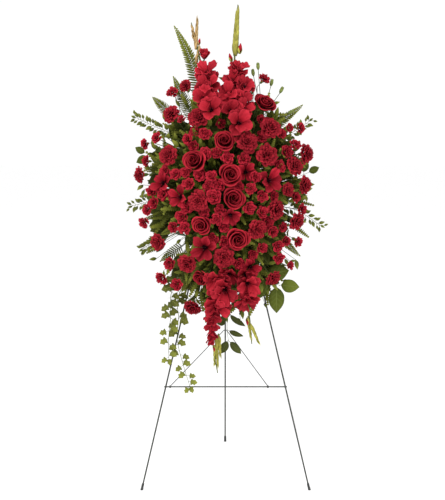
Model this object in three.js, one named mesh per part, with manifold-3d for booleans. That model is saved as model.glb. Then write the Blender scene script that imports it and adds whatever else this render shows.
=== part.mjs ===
// Standing funeral spray on a folding wire easel, in millimetres.
// +X is to the right, +Y to the back, +Z up, and the surface it stands on is z = 0.
import * as THREE from 'three';
import { mergeVertices } from 'three/addons/utils/BufferGeometryUtils.js';
import Module from 'manifold-3d';

const wasm = await Module();
wasm.setup();

// Easel: overall sizes
const FEET_HALF_SPREAD = 302;
const APEX_HEIGHT = 1282;
const APEX_BACK = 260;
const BACK_FOOT_BACK = 565;
const LEG_RADIUS = 2.9;
const LEG_SIDES = 8;
const LEG_TOP_BELOW_APEX = 40;
const FIT_GAP = 0.3;

// Easel: crossbar, hinge and stay
const CROSSBAR_HEIGHT = 361;
const CROSSBAR_RADIUS = 2.4;
const CROSSBAR_HALF_LENGTH = 223;
const STAY_RADIUS = 1.6;
const STAY_LEFT_X = -201;
const STAY_RIGHT_X = 154;
const STAY_REACH = 260;
const STAY_BEND_HEIGHT = 490;
const STAY_EYE_WIDTH = 5;
const STAY_SIDES = 5;
const STAY_CORNER_PLAY = 0.8;
const EYE_WALL = 2.4;
const EYE_SIDES = 10;
const HINGE_BEHIND_PLANE = 15;
const PIN_RADIUS = 3;
const EYE_HALF_WIDTH = 3.5;
const LUG_THICKNESS = 4;
const LUG_PLAY = 0.6;
const LUG_MARGIN = 3;
const LUG_HALF_UP = 7;
const PIN_PROUD = 2.5;
const HINGE_EYE_WALL = 3;
const LEG_BORE_LENGTH = 120;
const FITTING_WIDTH = 46;
const FITTING_DEPTH = 11;
const FITTING_BELOW_APEX = 58;
const FITTING_ABOVE_APEX = 8;
const TIP_RADIUS = 4.6;
const TIP_LENGTH = 24;
const TIP_FLOOR = 3.5;

// Foam block in its tray, in the leaning plane of the two front legs
const FOAM_ALONG = 1072;
const FOAM_HALF = { x: 58, up: 140, front: 40 };
const TRAY_WALL = 2.4;
const TRAY_LIP = 14;
const TRAY_OFF_PLANE = 3.4;
const TIE_RADIUS = 0.9;
const TIE_OFFSETS = { tie_wire_upper: 85, tie_wire_lower: -85 };

// The photograph's view, which places the flowers: eye point, downward tilt and focal length in pixels
const VIEW = { eyeX: -11, eyeY: -3500, eyeZ: 1300, tilt: THREE.MathUtils.degToRad(7), focal: 1009 };
const VIEW_CENTRE = { px: 222.5, py: 250 };

// Flowers: clearances and stem sizes
const CLEARANCE = 0.5;
const NEAR_SHARE = 0.6;
const KEEP_SHARE = 2;
const HEAD_NEAR = 0.4;
const END_CLEARANCE = 1.2;
const SWEEP_CLEARANCE = 9;
const STEM_SIDES = 3;
const FORK_SHARE = 0.4;
const FORK_BACK = 10;
const KNOT_SIZE = 2.6;
const BRANCH_SHARE = 0.9;
const STRAIGHT_LENGTH = 95;
const LEAF_STEM = 1.5;
const LEAF_ROOT = 1.2;
const STALK_SHARE = 0.12;
const BARE_SHARE = 0.95;
const GLADIOLUS_STEM = 3.6;
const GLADIOLUS_TIP = 2.6;
const STEM_SINK = { x: 0.19, up: 0.36, front: 0.16, frontBase: -14, leafBase: -24 };
const STEM_SINK_LIMIT = { x: 46, up: 122, front: 32 };
const SOCKET_LENGTH = 130;
const ROSE_STEM = { radius: 2.3, stalk: 26 };
const CARNATION_STEM = { radius: 1.9, stalk: 24 };
const STAR_STEM = { radius: 1.7, stalk: 20 };
const MINI_STEM = { radius: 1.3, stalk: 16 };
const BUD_STEM = 1.6;
const BUD_STALK = 1.1;
const BUD_SIZE = 11;

const X = new THREE.Vector3(1, 0, 0);
const UP_PLANE = new THREE.Vector3(0, APEX_BACK, APEX_HEIGHT).normalize();
const FORWARD = new THREE.Vector3(0, -APEX_HEIGHT, APEX_BACK).normalize();

const COLOURS = {
  wire: [0x4b504b, 0.55, 0.7],
  rubber: [0x2c2e2c, 0.85, 0],
  foam: [0x2f5a35, 0.95, 0],
  tray: [0x25452c, 0.6, 0],
  rose: [0x96142a, 0.7, 0],
  carnation: [0xb0162e, 0.75, 0],
  gladiolus: [0xc81e30, 0.6, 0],
  star: [0xa8142c, 0.6, 0],
  mini: [0xc41834, 0.75, 0],
  bud: [0x7c8440, 0.7, 0],
  fern: [0x456a2c, 0.75, 0],
  sprig: [0x3f6128, 0.7, 0],
  salal: [0x47682c, 0.55, 0],
  ivy: [0x66803a, 0.6, 0],
};

const group = new THREE.Group();
const keepouts = [];
const sockets = [];
const vec = (x, y, z) => new THREE.Vector3(x, y, z);

// Solids

// A closed mesh as a manifold solid, with its faces turned outwards.
function solid(geometry) {
  const bare = geometry.index ? geometry.clone() : geometry;
  bare.deleteAttribute('normal');
  bare.deleteAttribute('uv');
  const merged = mergeVertices(bare, 1e-4);
  const triVerts = Uint32Array.from(merged.index.array);
  const vertProperties = Float32Array.from(merged.attributes.position.array);
  const made = new wasm.Manifold(new wasm.Mesh({ numProp: 3, vertProperties, triVerts }));
  if (made.volume() > 0) {
    return made;
  }
  for (let i = 0; i < triVerts.length; i += 3) {
    [triVerts[i], triVerts[i + 1]] = [triVerts[i + 1], triVerts[i]];
  }
  return new wasm.Manifold(new wasm.Mesh({ numProp: 3, vertProperties, triVerts }));
}

function joined(solids) {
  return solids.reduce((sum, next) => sum.add(next));
}

// The largest separate body of a solid: scraps that a cut leaves are dropped.
function largest(body) {
  const parts = body.decompose();
  return parts.reduce((best, next) => (next.volume() > best.volume() ? next : best));
}

// Keeps every plant out of a space.
function keepOff(space) {
  keepouts.push({ near: space, keep: space });
}

function boxesMeet(a, b) {
  const one = a.boundingBox();
  const two = b.boundingBox();
  return [0, 1, 2].every((k) => one.min[k] < two.max[k] && two.min[k] < one.max[k]);
}

function addMesh(name, body, finish) {
  const mesh = body.getMesh();
  const geometry = new THREE.BufferGeometry();
  geometry.setAttribute('position', new THREE.BufferAttribute(Float32Array.from(mesh.vertProperties), 3));
  geometry.setIndex(new THREE.BufferAttribute(Uint32Array.from(mesh.triVerts), 1));
  geometry.computeVertexNormals();
  const [color, roughness, metalness] = COLOURS[finish];
  const node = new THREE.Mesh(geometry, new THREE.MeshStandardMaterial({ color, roughness, metalness }));
  node.name = name;
  group.add(node);
}

// Straight rod between two points.
function rod(from, to, radius, sides) {
  const along = to.clone().sub(from);
  const geometry = new THREE.CylinderGeometry(radius, radius, along.length(), sides);
  geometry.applyQuaternion(new THREE.Quaternion().setFromUnitVectors(vec(0, 1, 0), along.clone().normalize()));
  geometry.translate(...from.clone().add(to).multiplyScalar(0.5).toArray());
  return solid(geometry);
}

// Tube of a few sides along a smooth line through the points.
function tube(points, radius, sides, steps) {
  const section = new THREE.Shape();
  for (let k = 0; k < sides; k += 1) {
    const turn = (2 * Math.PI * k) / sides;
    section[k ? 'lineTo' : 'moveTo'](radius * Math.cos(turn), radius * Math.sin(turn));
  }
  section.closePath();
  const extrudePath = new THREE.CatmullRomCurve3(points, false, 'centripetal');
  return solid(new THREE.ExtrudeGeometry(section, { steps, bevelEnabled: false, extrudePath }));
}

// Box whose sides follow X, the legs' plane and its normal.
function planeBox(centre, halfX, halfUp, halfFront) {
  const geometry = new THREE.BoxGeometry(2 * halfX, 2 * halfFront, 2 * halfUp);
  const turn = new THREE.Matrix4().makeBasis(X, FORWARD.clone().negate(), UP_PLANE);
  geometry.applyMatrix4(turn);
  geometry.translate(...centre.toArray());
  return solid(geometry);
}

// A point given by its distance along the legs' plane, its distance in front of it, and x.
function onPlane(x, along, front) {
  return vec(x, 0, 0).addScaledVector(UP_PLANE, along).addScaledVector(FORWARD, front);
}

// Easel

const alongAt = (height) => height / UP_PLANE.z;
const legXAt = (height) => FEET_HALF_SPREAD * (1 - height / APEX_HEIGHT);

function legPoint(side, height) {
  return vec(side * legXAt(height), (APEX_BACK * height) / APEX_HEIGHT, height);
}

const HINGE = onPlane(0, alongAt(APEX_HEIGHT), -HINGE_BEHIND_PLANE);
const BACK_FOOT = vec(0, BACK_FOOT_BACK, 0);
const BACK_DOWN = BACK_FOOT.clone().sub(HINGE).normalize();
const CROSSBAR_BEHIND = LEG_RADIUS + CROSSBAR_RADIUS + FIT_GAP;
const CROSSBAR = onPlane(0, alongAt(CROSSBAR_HEIGHT), -CROSSBAR_BEHIND);

function backLegPoint(height) {
  return HINGE.clone().addScaledVector(BACK_DOWN, (HINGE.z - height) / -BACK_DOWN.z);
}

// Rubber tip round a leg's foot, cut flat where it stands.
function tip(foot, upLeg, legEnd) {
  const top = foot.clone().addScaledVector(upLeg, TIP_LENGTH);
  const below = foot.clone().addScaledVector(upLeg, -TIP_LENGTH);
  const ground = new THREE.BoxGeometry(2 * TIP_LENGTH, 2 * TIP_LENGTH, 2 * TIP_LENGTH);
  ground.translate(foot.x, foot.y, -TIP_LENGTH);
  const hollow = rod(legEnd.clone().addScaledVector(upLeg, -FIT_GAP), top.clone().addScaledVector(upLeg, 5),
    LEG_RADIUS + FIT_GAP, LEG_SIDES);
  return rod(below, top, TIP_RADIUS, LEG_SIDES).subtract(solid(ground)).subtract(hollow);
}

function frontLegs() {
  for (const [side, word] of [[-1, 'left'], [1, 'right']]) {
    const up = legPoint(side, APEX_HEIGHT).sub(legPoint(side, 0)).normalize();
    const end = legPoint(side, 0).addScaledVector(up, TIP_FLOOR / up.z);
    const top = legPoint(side, APEX_HEIGHT - LEG_TOP_BELOW_APEX);
    addMesh(`front_leg_${word}`, rod(end, top, LEG_RADIUS, LEG_SIDES), 'wire');
    addMesh(`foot_tip_${word}`, tip(legPoint(side, 0), up, end), 'rubber');
    keepOff(rod(end, top, LEG_RADIUS + CLEARANCE, LEG_SIDES));
  }
}

function crossbar() {
  const left = CROSSBAR.clone().setX(-CROSSBAR_HALF_LENGTH);
  const right = CROSSBAR.clone().setX(CROSSBAR_HALF_LENGTH);
  addMesh('crossbar', rod(left, right, CROSSBAR_RADIUS, LEG_SIDES), 'wire');
  keepOff(rod(left, right, CROSSBAR_RADIUS + CLEARANCE, LEG_SIDES));
}

// Ring round an axis along X, with a round hole for its pin.
function eye(centre, halfWidth, outer, inner) {
  const ends = [vec(-halfWidth, 0, 0).add(centre), vec(halfWidth, 0, 0).add(centre)];
  const through = [vec(-halfWidth - 1, 0, 0).add(centre), vec(halfWidth + 1, 0, 0).add(centre)];
  return rod(...ends, outer, EYE_SIDES).subtract(rod(...through, inner, EYE_SIDES));
}

// Hinge fitting: a block that the two front legs plug into, with two lugs and the hinge pin.
function apexFitting() {
  const middle = alongAt(APEX_HEIGHT) + (FITTING_ABOVE_APEX - FITTING_BELOW_APEX) / 2;
  const halfUp = (FITTING_ABOVE_APEX + FITTING_BELOW_APEX) / 2;
  let body = planeBox(onPlane(0, middle, 0), FITTING_WIDTH / 2, halfUp, FITTING_DEPTH / 2);
  for (const side of [-1, 1]) {
    const up = legPoint(side, APEX_HEIGHT).sub(legPoint(side, 0)).normalize();
    const top = legPoint(side, APEX_HEIGHT - LEG_TOP_BELOW_APEX).addScaledVector(up, FIT_GAP);
    body = body.subtract(rod(legPoint(side, APEX_HEIGHT - LEG_BORE_LENGTH), top, LEG_RADIUS + FIT_GAP, LEG_SIDES));
    const lugX = side * (EYE_HALF_WIDTH + LUG_PLAY + LUG_THICKNESS / 2);
    const reach = HINGE_BEHIND_PLANE / 2 + LUG_MARGIN;
    const lug = planeBox(onPlane(lugX, alongAt(APEX_HEIGHT), -reach), LUG_THICKNESS / 2, LUG_HALF_UP, reach);
    body = body.add(lug);
  }
  const pinHalf = EYE_HALF_WIDTH + LUG_THICKNESS + PIN_PROUD;
  const pin = rod(vec(-pinHalf, 0, 0).add(HINGE), vec(pinHalf, 0, 0).add(HINGE), PIN_RADIUS, EYE_SIDES);
  addMesh('apex_fitting', body.add(pin), 'wire');
  keepOff(planeBox(onPlane(0, middle, 0), FITTING_WIDTH / 2 + CLEARANCE, halfUp + CLEARANCE,
    FITTING_DEPTH / 2 + CLEARANCE));
}

function backLeg() {
  const up = BACK_DOWN.clone().negate();
  const end = BACK_FOOT.clone().addScaledVector(up, TIP_FLOOR / up.z);
  const start = HINGE.clone().addScaledVector(BACK_DOWN, PIN_RADIUS + FIT_GAP + 1);
  const leg = rod(end, start, LEG_RADIUS, LEG_SIDES);
  const ring = eye(HINGE, EYE_HALF_WIDTH, PIN_RADIUS + FIT_GAP + HINGE_EYE_WALL, PIN_RADIUS + FIT_GAP);
  addMesh('back_leg', leg.add(ring), 'wire');
  addMesh('foot_tip_back', tip(BACK_FOOT, up, end), 'rubber');
}

// V-shaped stay: an eye round the crossbar at each end, and a bend that catches the back leg from behind.
function stay() {
  const onLeg = backLegPoint(STAY_BEND_HEIGHT);
  const reach = onLeg.clone().sub(CROSSBAR).setX(0);
  const outward = reach.clone().normalize();
  const behind = reach.length() + LEG_RADIUS + STAY_RADIUS + FIT_GAP;
  const side = LEG_RADIUS + STAY_RADIUS + STAY_CORNER_PLAY;
  const corner = (x, distance) => CROSSBAR.clone().setX(x).addScaledVector(outward, distance);
  const eyeOuter = CROSSBAR_RADIUS + FIT_GAP + EYE_WALL;
  const pieces = [];
  for (const [x, sign] of [[STAY_LEFT_X, -1], [STAY_RIGHT_X, 1]]) {
    pieces.push(eye(CROSSBAR.clone().setX(x), STAY_EYE_WIDTH / 2, eyeOuter, CROSSBAR_RADIUS + FIT_GAP));
    const from = corner(x, eyeOuter - EYE_WALL / 2);
    pieces.push(rod(from, corner(sign * side, behind), STAY_RADIUS, STAY_SIDES));
  }
  const bend = side + STAY_RADIUS;
  pieces.push(rod(corner(-bend, behind), corner(bend, behind), STAY_RADIUS, STAY_SIDES));
  addMesh('stay', joined(pieces), 'wire');
}

// Tray, open to the front, held to the legs by two wires that pass behind them.
const FOAM_BACK = TRAY_OFF_PLANE + TRAY_WALL + FIT_GAP;
const FOAM_CENTRE = onPlane(0, FOAM_ALONG, FOAM_BACK + FOAM_HALF.front);

function tray() {
  const outX = FOAM_HALF.x + FIT_GAP + TRAY_WALL;
  const outUp = FOAM_HALF.up + FIT_GAP + TRAY_WALL;
  const depth = TRAY_WALL + FIT_GAP + TRAY_LIP;
  const outer = planeBox(onPlane(0, FOAM_ALONG, TRAY_OFF_PLANE + depth / 2), outX, outUp, depth / 2);
  const inner = planeBox(onPlane(0, FOAM_ALONG, TRAY_OFF_PLANE + TRAY_WALL + depth / 2), FOAM_HALF.x + FIT_GAP,
    FOAM_HALF.up + FIT_GAP, depth / 2);
  addMesh('tray', outer.subtract(inner), 'tray');
  keepOff(planeBox(onPlane(0, FOAM_ALONG, TRAY_OFF_PLANE + depth / 2), outX + CLEARANCE, outUp + CLEARANCE,
    depth / 2 + CLEARANCE));
}

function tieWires() {
  const x = FOAM_HALF.x + FIT_GAP + TRAY_WALL + TIE_RADIUS + FIT_GAP;
  const back = -(LEG_RADIUS + TIE_RADIUS + FIT_GAP);
  const lip = TRAY_OFF_PLANE + TRAY_WALL + FIT_GAP + TRAY_LIP + TIE_RADIUS + FIT_GAP;
  for (const [name, offset] of Object.entries(TIE_OFFSETS)) {
    const at = (px, front) => onPlane(px, FOAM_ALONG + offset, front);
    const wire = [
      rod(at(-x - TIE_RADIUS, back), at(x + TIE_RADIUS, back), TIE_RADIUS, 4),
      rod(at(-x, back - TIE_RADIUS), at(-x, lip + TIE_RADIUS), TIE_RADIUS, 4),
      rod(at(x, back - TIE_RADIUS), at(x, lip + TIE_RADIUS), TIE_RADIUS, 4),
    ];
    addMesh(name, joined(wire), 'wire');
    keepOff(rod(at(-x, back), at(-x, lip + 2), TIE_RADIUS + CLEARANCE, 6));
    keepOff(rod(at(x, back), at(x, lip + 2), TIE_RADIUS + CLEARANCE, 6));
  }
}

// Space behind the front legs that the back leg and the stay swing through: no flower reaches into it.
function sweptSpace() {
  const halfUp = alongAt(APEX_HEIGHT) / 2 + FITTING_BELOW_APEX;
  const halfDeep = BACK_FOOT_BACK * 0.75;
  const centre = onPlane(0, alongAt(APEX_HEIGHT) / 2 + FITTING_BELOW_APEX / 2, SWEEP_CLEARANCE - halfDeep);
  keepOff(planeBox(centre, STAY_REACH, halfUp, halfDeep));
}

// Flower heads

// Triangles between two closed rings of points, which may differ in how many points they have.
function bridge(faces, low, lowCount, high, highCount) {
  let [i, j] = [0, 0];
  while (i < lowCount || j < highCount) {
    const a = low + (i % lowCount);
    const b = high + (j % highCount);
    if (j === highCount || (i < lowCount && (i + 1) / lowCount <= (j + 1) / highCount)) {
      faces.push(a, low + ((i + 1) % lowCount), b);
      i += 1;
    } else {
      faces.push(a, high + ((j + 1) % highCount), b);
      j += 1;
    }
  }
}

// A head and its stem as one closed skin. The head's rings have a radius, a height, a wave, its lobes and a
// turn, all in head radii; the stem goes from the neck down through the line's points.
function stemmedHead(kind, size, at, facing, spin, line, stemRadius) {
  const turn = new THREE.Quaternion().setFromUnitVectors(vec(0, 0, 1), facing);
  let side = vec(Math.cos(spin), Math.sin(spin), 0).applyQuaternion(turn);
  let other = facing.clone().cross(side);
  const points = [];
  const rings = [];
  for (const ring of kind.rings) {
    rings.push({ first: points.length, count: kind.segments });
    for (let k = 0; k < kind.segments; k += 1) {
      const angle = (2 * Math.PI * k) / kind.segments;
      const swing = Math.cos((ring.lobes ?? 1) * (angle - (ring.turn ?? 0)));
      const radius = size * ring.r * (1 + (ring.wave ?? 0) * swing);
      const place = at.clone().addScaledVector(facing, size * (ring.z + (ring.lift ?? 0) * swing));
      place.addScaledVector(side, radius * Math.cos(angle));
      points.push(place.addScaledVector(other, radius * Math.sin(angle)));
    }
  }
  const crown = points.length;
  points.push(at.clone().addScaledVector(facing, size * kind.top));
  let ahead = facing.clone();
  line.forEach((place, step) => {
    const up = (step ? line[step - 1] : at).clone().sub(line[Math.min(step + 1, line.length - 1)]).normalize();
    const swing = new THREE.Quaternion().setFromUnitVectors(ahead, up);
    side = side.clone().applyQuaternion(swing);
    other = other.clone().applyQuaternion(swing);
    ahead = up;
    rings.unshift({ first: points.length, count: STEM_SIDES });
    for (let k = 0; k < STEM_SIDES; k += 1) {
      const angle = (2 * Math.PI * k) / STEM_SIDES;
      const around = side.clone().multiplyScalar(stemRadius * Math.cos(angle));
      points.push(place.clone().add(around).addScaledVector(other, stemRadius * Math.sin(angle)));
    }
  });
  const faces = [];
  const foot = rings[0].first;
  faces.push(foot, foot + 2, foot + 1);
  for (let r = 0; r < rings.length - 1; r += 1) {
    bridge(faces, rings[r].first, rings[r].count, rings[r + 1].first, rings[r + 1].count);
  }
  const rim = rings[rings.length - 1];
  for (let k = 0; k < rim.count; k += 1) {
    faces.push(crown, rim.first + k, rim.first + ((k + 1) % rim.count));
  }
  const geometry = new THREE.BufferGeometry();
  geometry.setAttribute('position', new THREE.Float32BufferAttribute(points.flatMap((p) => p.toArray()), 3));
  geometry.setIndex(faces);
  return solid(geometry);
}

const HALF_LOBE = Math.PI / 5;

const CARNATION = {
  segments: 10,
  neck: -0.95,
  top: 0.4,
  rings: [
    { r: 0.2, z: -0.36 },
    { r: 0.92, z: 0, wave: 0.09, lobes: 5, lift: 0.05 },
    { r: 0.68, z: 0.13 },
    { r: 0.74, z: 0.32, wave: 0.13, lobes: 5, turn: HALF_LOBE, lift: 0.05 },
    { r: 0.44, z: 0.3 },
    { r: 0.4, z: 0.5, wave: 0.2, lobes: 5, lift: 0.04 },
  ],
};

const MINI = {
  segments: 8,
  neck: -1.1,
  top: 0.26,
  rings: [
    { r: 0.28, z: -0.42 },
    { r: 0.94, z: 0.02, wave: 0.12, lobes: 4, lift: 0.06 },
    { r: 0.62, z: 0.38, wave: 0.24, lobes: 4, turn: Math.PI / 4 },
  ],
};

const ROSE = {
  segments: 10,
  neck: -0.85,
  top: 0.46,
  rings: [
    { r: 0.34, z: -0.6 },
    { r: 0.78, z: -0.2 },
    { r: 0.95, z: 0.12, wave: 0.06, lobes: 5, lift: 0.05 },
    { r: 0.7, z: 0.06 },
    { r: 0.76, z: 0.36, wave: 0.07, lobes: 5, turn: HALF_LOBE, lift: 0.04 },
    { r: 0.5, z: 0.24 },
    { r: 0.52, z: 0.52, wave: 0.08, lobes: 5, lift: 0.04 },
    { r: 0.28, z: 0.38 },
    { r: 0.24, z: 0.56, wave: 0.1, lobes: 5, turn: HALF_LOBE },
  ],
};

const FUNNEL = {
  segments: 12,
  neck: -0.9,
  top: -0.42,
  rings: [
    { r: 0.2, z: -0.5 },
    { r: 0.86, z: -0.04, wave: 0.16, lobes: 6, lift: 0.06 },
    { r: 0.5, z: -0.09, wave: 0.1, lobes: 6 },
  ],
};

const BUD = {
  segments: 5,
  neck: -1,
  top: 1,
  rings: [{ r: 0.34, z: -0.4 }, { r: 0.3, z: 0.4 }],
};

// The overlapping sheaths at a gladiolus' tip, as one slender spindle.
const SHEATH = {
  segments: 6,
  neck: -1,
  top: 1,
  rings: [{ r: 0.08, z: -0.7 }, { r: 0.13, z: -0.2 }, { r: 0.11, z: 0.3 }],
};

// Places

// The point at depth y that the photograph's view shows at a pixel.
function seen(px, py, y) {
  const across = (px - VIEW_CENTRE.px) / VIEW.focal;
  const down = (py - VIEW_CENTRE.py) / VIEW.focal;
  const rise = -Math.sin(VIEW.tilt) - down * Math.cos(VIEW.tilt);
  const run = Math.cos(VIEW.tilt) - down * Math.sin(VIEW.tilt);
  const distance = (y - VIEW.eyeY) / run;
  return vec(VIEW.eyeX + across * distance, y, VIEW.eyeZ + rise * distance);
}

// The oval's front bulges towards the viewer: depth at a pixel, and the way a head there faces.
const OVAL = { px: 225.6, py: 200, halfWidth: 88, halfHeight: 125, nearY: -70, farY: 70 };
const OVAL_EDGE = 1.3;
const HEAD_TURN = { sideways: 0.85, upward: 0.5, lift: 0.05 };

function bulge({ px, py }) {
  const out = ((px - OVAL.px) / OVAL.halfWidth) ** 2 + ((py - OVAL.py) / OVAL.halfHeight) ** 2;
  return OVAL.nearY + (OVAL.farY - OVAL.nearY) * Math.min(out, OVAL_EDGE);
}

function outwardAt({ px, py }) {
  const sideways = (HEAD_TURN.sideways * (px - OVAL.px)) / OVAL.halfWidth;
  const upward = (-HEAD_TURN.upward * (py - OVAL.py)) / OVAL.halfHeight;
  return vec(sideways, -1, upward + HEAD_TURN.lift).normalize();
}

function headPlace(spot) {
  const at = seen(spot.px, spot.py, spot.y ?? bulge(spot) + (spot.back ?? 0));
  const facing = spot.face ? vec(...spot.face).normalize() : outwardAt(spot);
  return { at, facing };
}

// The point inside the foam where a stem that goes out towards a place ends.
function sinkPoint(place, base = STEM_SINK.frontBase) {
  const rel = place.clone().sub(FOAM_CENTRE);
  const clamp = (value, limit) => Math.max(-limit, Math.min(limit, value));
  const x = clamp(rel.x * STEM_SINK.x, STEM_SINK_LIMIT.x);
  const up = clamp(rel.dot(UP_PLANE) * STEM_SINK.up, STEM_SINK_LIMIT.up);
  const front = clamp(rel.dot(FORWARD) * STEM_SINK.front + base, STEM_SINK_LIMIT.front);
  return FOAM_CENTRE.clone().add(vec(x, 0, 0)).addScaledVector(UP_PLANE, up).addScaledVector(FORWARD, front);
}

// A head on its stem, with the slightly larger spaces that keep others off it.
function head(kind, size, at, facing, spin, line, radius) {
  const margin = CLEARANCE / size;
  const last = line.length - 1;
  const end = line[last].clone().sub(line[last - 1] ?? at).setLength(1).add(line[last]);
  const longer = [...line.slice(0, last), end];
  const make = (share, route) => {
    const grown = size * (1 + 2 * margin * share);
    return stemmedHead(kind, grown, at, facing, spin, route, radius + 2 * CLEARANCE * share);
  };
  return { body: make(0, line), near: make(HEAD_NEAR, longer), keep: make(1, longer) };
}

function stem(points, radius, sides, steps) {
  const first = points[0].clone().sub(points[1]).setLength(END_CLEARANCE);
  const longer = [points[0].clone().add(first), ...points.slice(1)];
  return {
    body: tube(points, radius, sides, steps),
    near: tube(longer, radius + CLEARANCE * NEAR_SHARE, sides, steps),
    keep: tube(longer, radius + CLEARANCE * KEEP_SHARE, sides, steps),
  };
}

// The knot that stems branch from.
function knot(at, stemRadius) {
  const make = (grow) => {
    const geometry = new THREE.OctahedronGeometry(stemRadius * KNOT_SIZE + grow);
    geometry.translate(at.x, at.y, at.z);
    return solid(geometry);
  };
  return { body: make(0), near: make(CLEARANCE * NEAR_SHARE), keep: make(CLEARANCE * KEEP_SHARE) };
}

// The hole that a stem stands in: from just below its end, straight along it and out of the foam.
function drill(sink, towards, radius) {
  const along = towards.clone().sub(sink).normalize();
  const hole = (radius + FIT_GAP) * Math.SQRT2;
  const bottom = sink.clone().addScaledVector(along, -FIT_GAP);
  sockets.push(rod(bottom, sink.clone().addScaledVector(along, SOCKET_LENGTH), hole, 4));
}

// Fuses the pieces, clears what lies in an earlier piece's space, and adds the node.
function addPlant(name, pieces, finish) {
  const whole = joined(pieces.map((piece) => piece.body));
  let body = whole;
  for (const { near, keep } of keepouts) {
    if (boxesMeet(body, near) && body.intersect(near).volume() > 0) {
      body = body.subtract(keep);
    }
  }
  body = largest(body);
  addMesh(name, body, finish);
  keepouts.push(...pieces);
}

// Heads on stems that meet in one stem sunk in the foam.
function bunch(name, kind, spots, { radius, stalk }, finish) {
  const places = spots.map((spot) => ({ ...headPlace(spot), size: spot.size / 2 }));
  const middle = places.reduce((sum, p) => sum.add(p.at), vec(0, 0, 0)).divideScalar(places.length);
  const sink = sinkPoint(middle);
  const pieces = [];
  const alone = places.length === 1;
  const fork = sink.clone().lerp(middle, FORK_SHARE).addScaledVector(FORWARD, -FORK_BACK);
  if (!alone) {
    pieces.push(stem([sink, fork], radius, STEM_SIDES, 1), knot(fork, radius));
    drill(sink, fork, radius);
  }
  places.forEach(({ at, facing, size }, k) => {
    const neck = at.clone().addScaledVector(facing, kind.neck * size);
    const back = neck.clone().addScaledVector(facing, -stalk);
    const line = [neck, back, alone ? sink : fork];
    pieces.push(head(kind, size, at, facing, k * 0.7, line, radius));
    if (alone) {
      drill(sink, back, radius);
    }
  });
  addPlant(name, pieces, finish);
}

const ROSES = {
  rose_top_right: [{ px: 265, py: 103, size: 84, face: [0.3, -0.8, 0.7] }],
  rose_upper_centre: [{ px: 224, py: 141, size: 78 }],
  rose_left: [{ px: 194, py: 160.8, size: 84 }],
  rose_centre: [{ px: 230.4, py: 174.5, size: 82 }],
  rose_middle: [{ px: 233.5, py: 198.4, size: 80 }],
  rose_mid_left: [{ px: 201, py: 225.5, size: 74 }],
  rose_low_right: [{ px: 237.8, py: 239.5, size: 84 }],
  rose_low_left: [{ px: 200.3, py: 278, size: 66, face: [-0.6, -1, -0.3] }],
};

const CARNATIONS = {
  carnations_top_left: [
    { px: 185.3, py: 85.5, size: 54, face: [-0.7, -0.8, 0.5] },
    { px: 171, py: 114, size: 73, face: [-0.6, -1, 0.5] },
    { px: 198.5, py: 116.7, size: 79 },
  ],
  carnations_top_right: [{ px: 270.7, py: 127.7, size: 83 }, { px: 247, py: 142, size: 83 }],
  carnations_left: [{ px: 168.3, py: 155, size: 77 }, { px: 139.8, py: 175.3, size: 66, face: [-1, -0.35, 0] }],
  carnations_right_high: [
    { px: 267.4, py: 155, size: 86 },
    { px: 295, py: 166, size: 75 },
    { px: 306.5, py: 154, size: 75, face: [1, -0.6, 0.15] },
  ],
  carnations_right: [
    { px: 305.2, py: 185, size: 71, face: [1, -0.7, -0.1] },
    { px: 288.2, py: 189.7, size: 54 },
    { px: 276.6, py: 209.6, size: 75, face: [0.7, -0.9, 0.1] },
    { px: 297, py: 221.4, size: 71, face: [0.8, -0.8, -0.3] },
  ],
  carnations_low_right: [
    { px: 257.5, py: 229.5, size: 77 },
    { px: 273, py: 278.5, size: 66, face: [0.5, -0.7, -0.7] },
    { px: 224, py: 257.5, size: 83 },
  ],
  carnations_low_left: [
    { px: 198, py: 201, size: 81 },
    { px: 157.5, py: 242.5, size: 66 },
    { px: 187, py: 264, size: 77 },
  ],
  carnation_hanging: [{ px: 192.2, py: 308.5, size: 62, face: [-0.2, -0.6, -0.9] }],
};

const STARS = {
  star_florets_left: [{ px: 160.5, py: 183, size: 86 }, { px: 178, py: 197, size: 89 }],
  star_florets_right: [{ px: 246.8, py: 172, size: 77, back: 30 }, { px: 271.5, py: 180, size: 91 }],
  star_florets_low: [
    { px: 203, py: 248.7, size: 98 },
    { px: 230.4, py: 217, size: 70, face: [0, -1, -0.6] },
    { px: 251, py: 268, size: 79 },
  ],
};

const MINIS = {
  minis_top_left: [
    { px: 172.2, py: 92, size: 46 },
    { px: 181.3, py: 118.8, size: 34 },
    { px: 156.5, py: 138, size: 46 },
    { px: 145, py: 143.8, size: 43 },
    { px: 146.3, py: 161, size: 46 },
    { px: 205.5, py: 133.7, size: 48 },
    { px: 187.5, py: 139, size: 46 },
  ],
  minis_top_right: [
    { px: 264, py: 79.2, size: 50 },
    { px: 289.8, py: 127.6, size: 36 },
    { px: 300.4, py: 128, size: 46 },
    { px: 295.6, py: 144.5, size: 46 },
  ],
  minis_left: [
    { px: 175.4, py: 174.2, size: 46 },
    { px: 147.3, py: 210, size: 46 },
    { px: 144, py: 222.7, size: 48 },
  ],
  minis_centre: [
    { px: 211.5, py: 176, size: 46 },
    { px: 213.8, py: 196.5, size: 57 },
    { px: 216.3, py: 219.7, size: 46 },
    { px: 185, py: 228, size: 50 },
  ],
  minis_right: [
    { px: 250.5, py: 188.4, size: 46 },
    { px: 262, py: 196.2, size: 48 },
    { px: 249.3, py: 208.4, size: 50 },
    { px: 262.5, py: 212, size: 46 },
  ],
  minis_low_right: [
    { px: 273, py: 231.6, size: 50 },
    { px: 262.2, py: 247.7, size: 43 },
    { px: 278, py: 246.6, size: 48 },
    { px: 279, py: 258, size: 46 },
    { px: 290.3, py: 265.5, size: 36 },
  ],
  minis_low_left: [
    { px: 169.5, py: 263.6, size: 50 },
    { px: 161.7, py: 278.2, size: 52, face: [-0.6, -0.8, -0.5] },
    { px: 176.7, py: 284.3, size: 50 },
  ],
};

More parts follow.
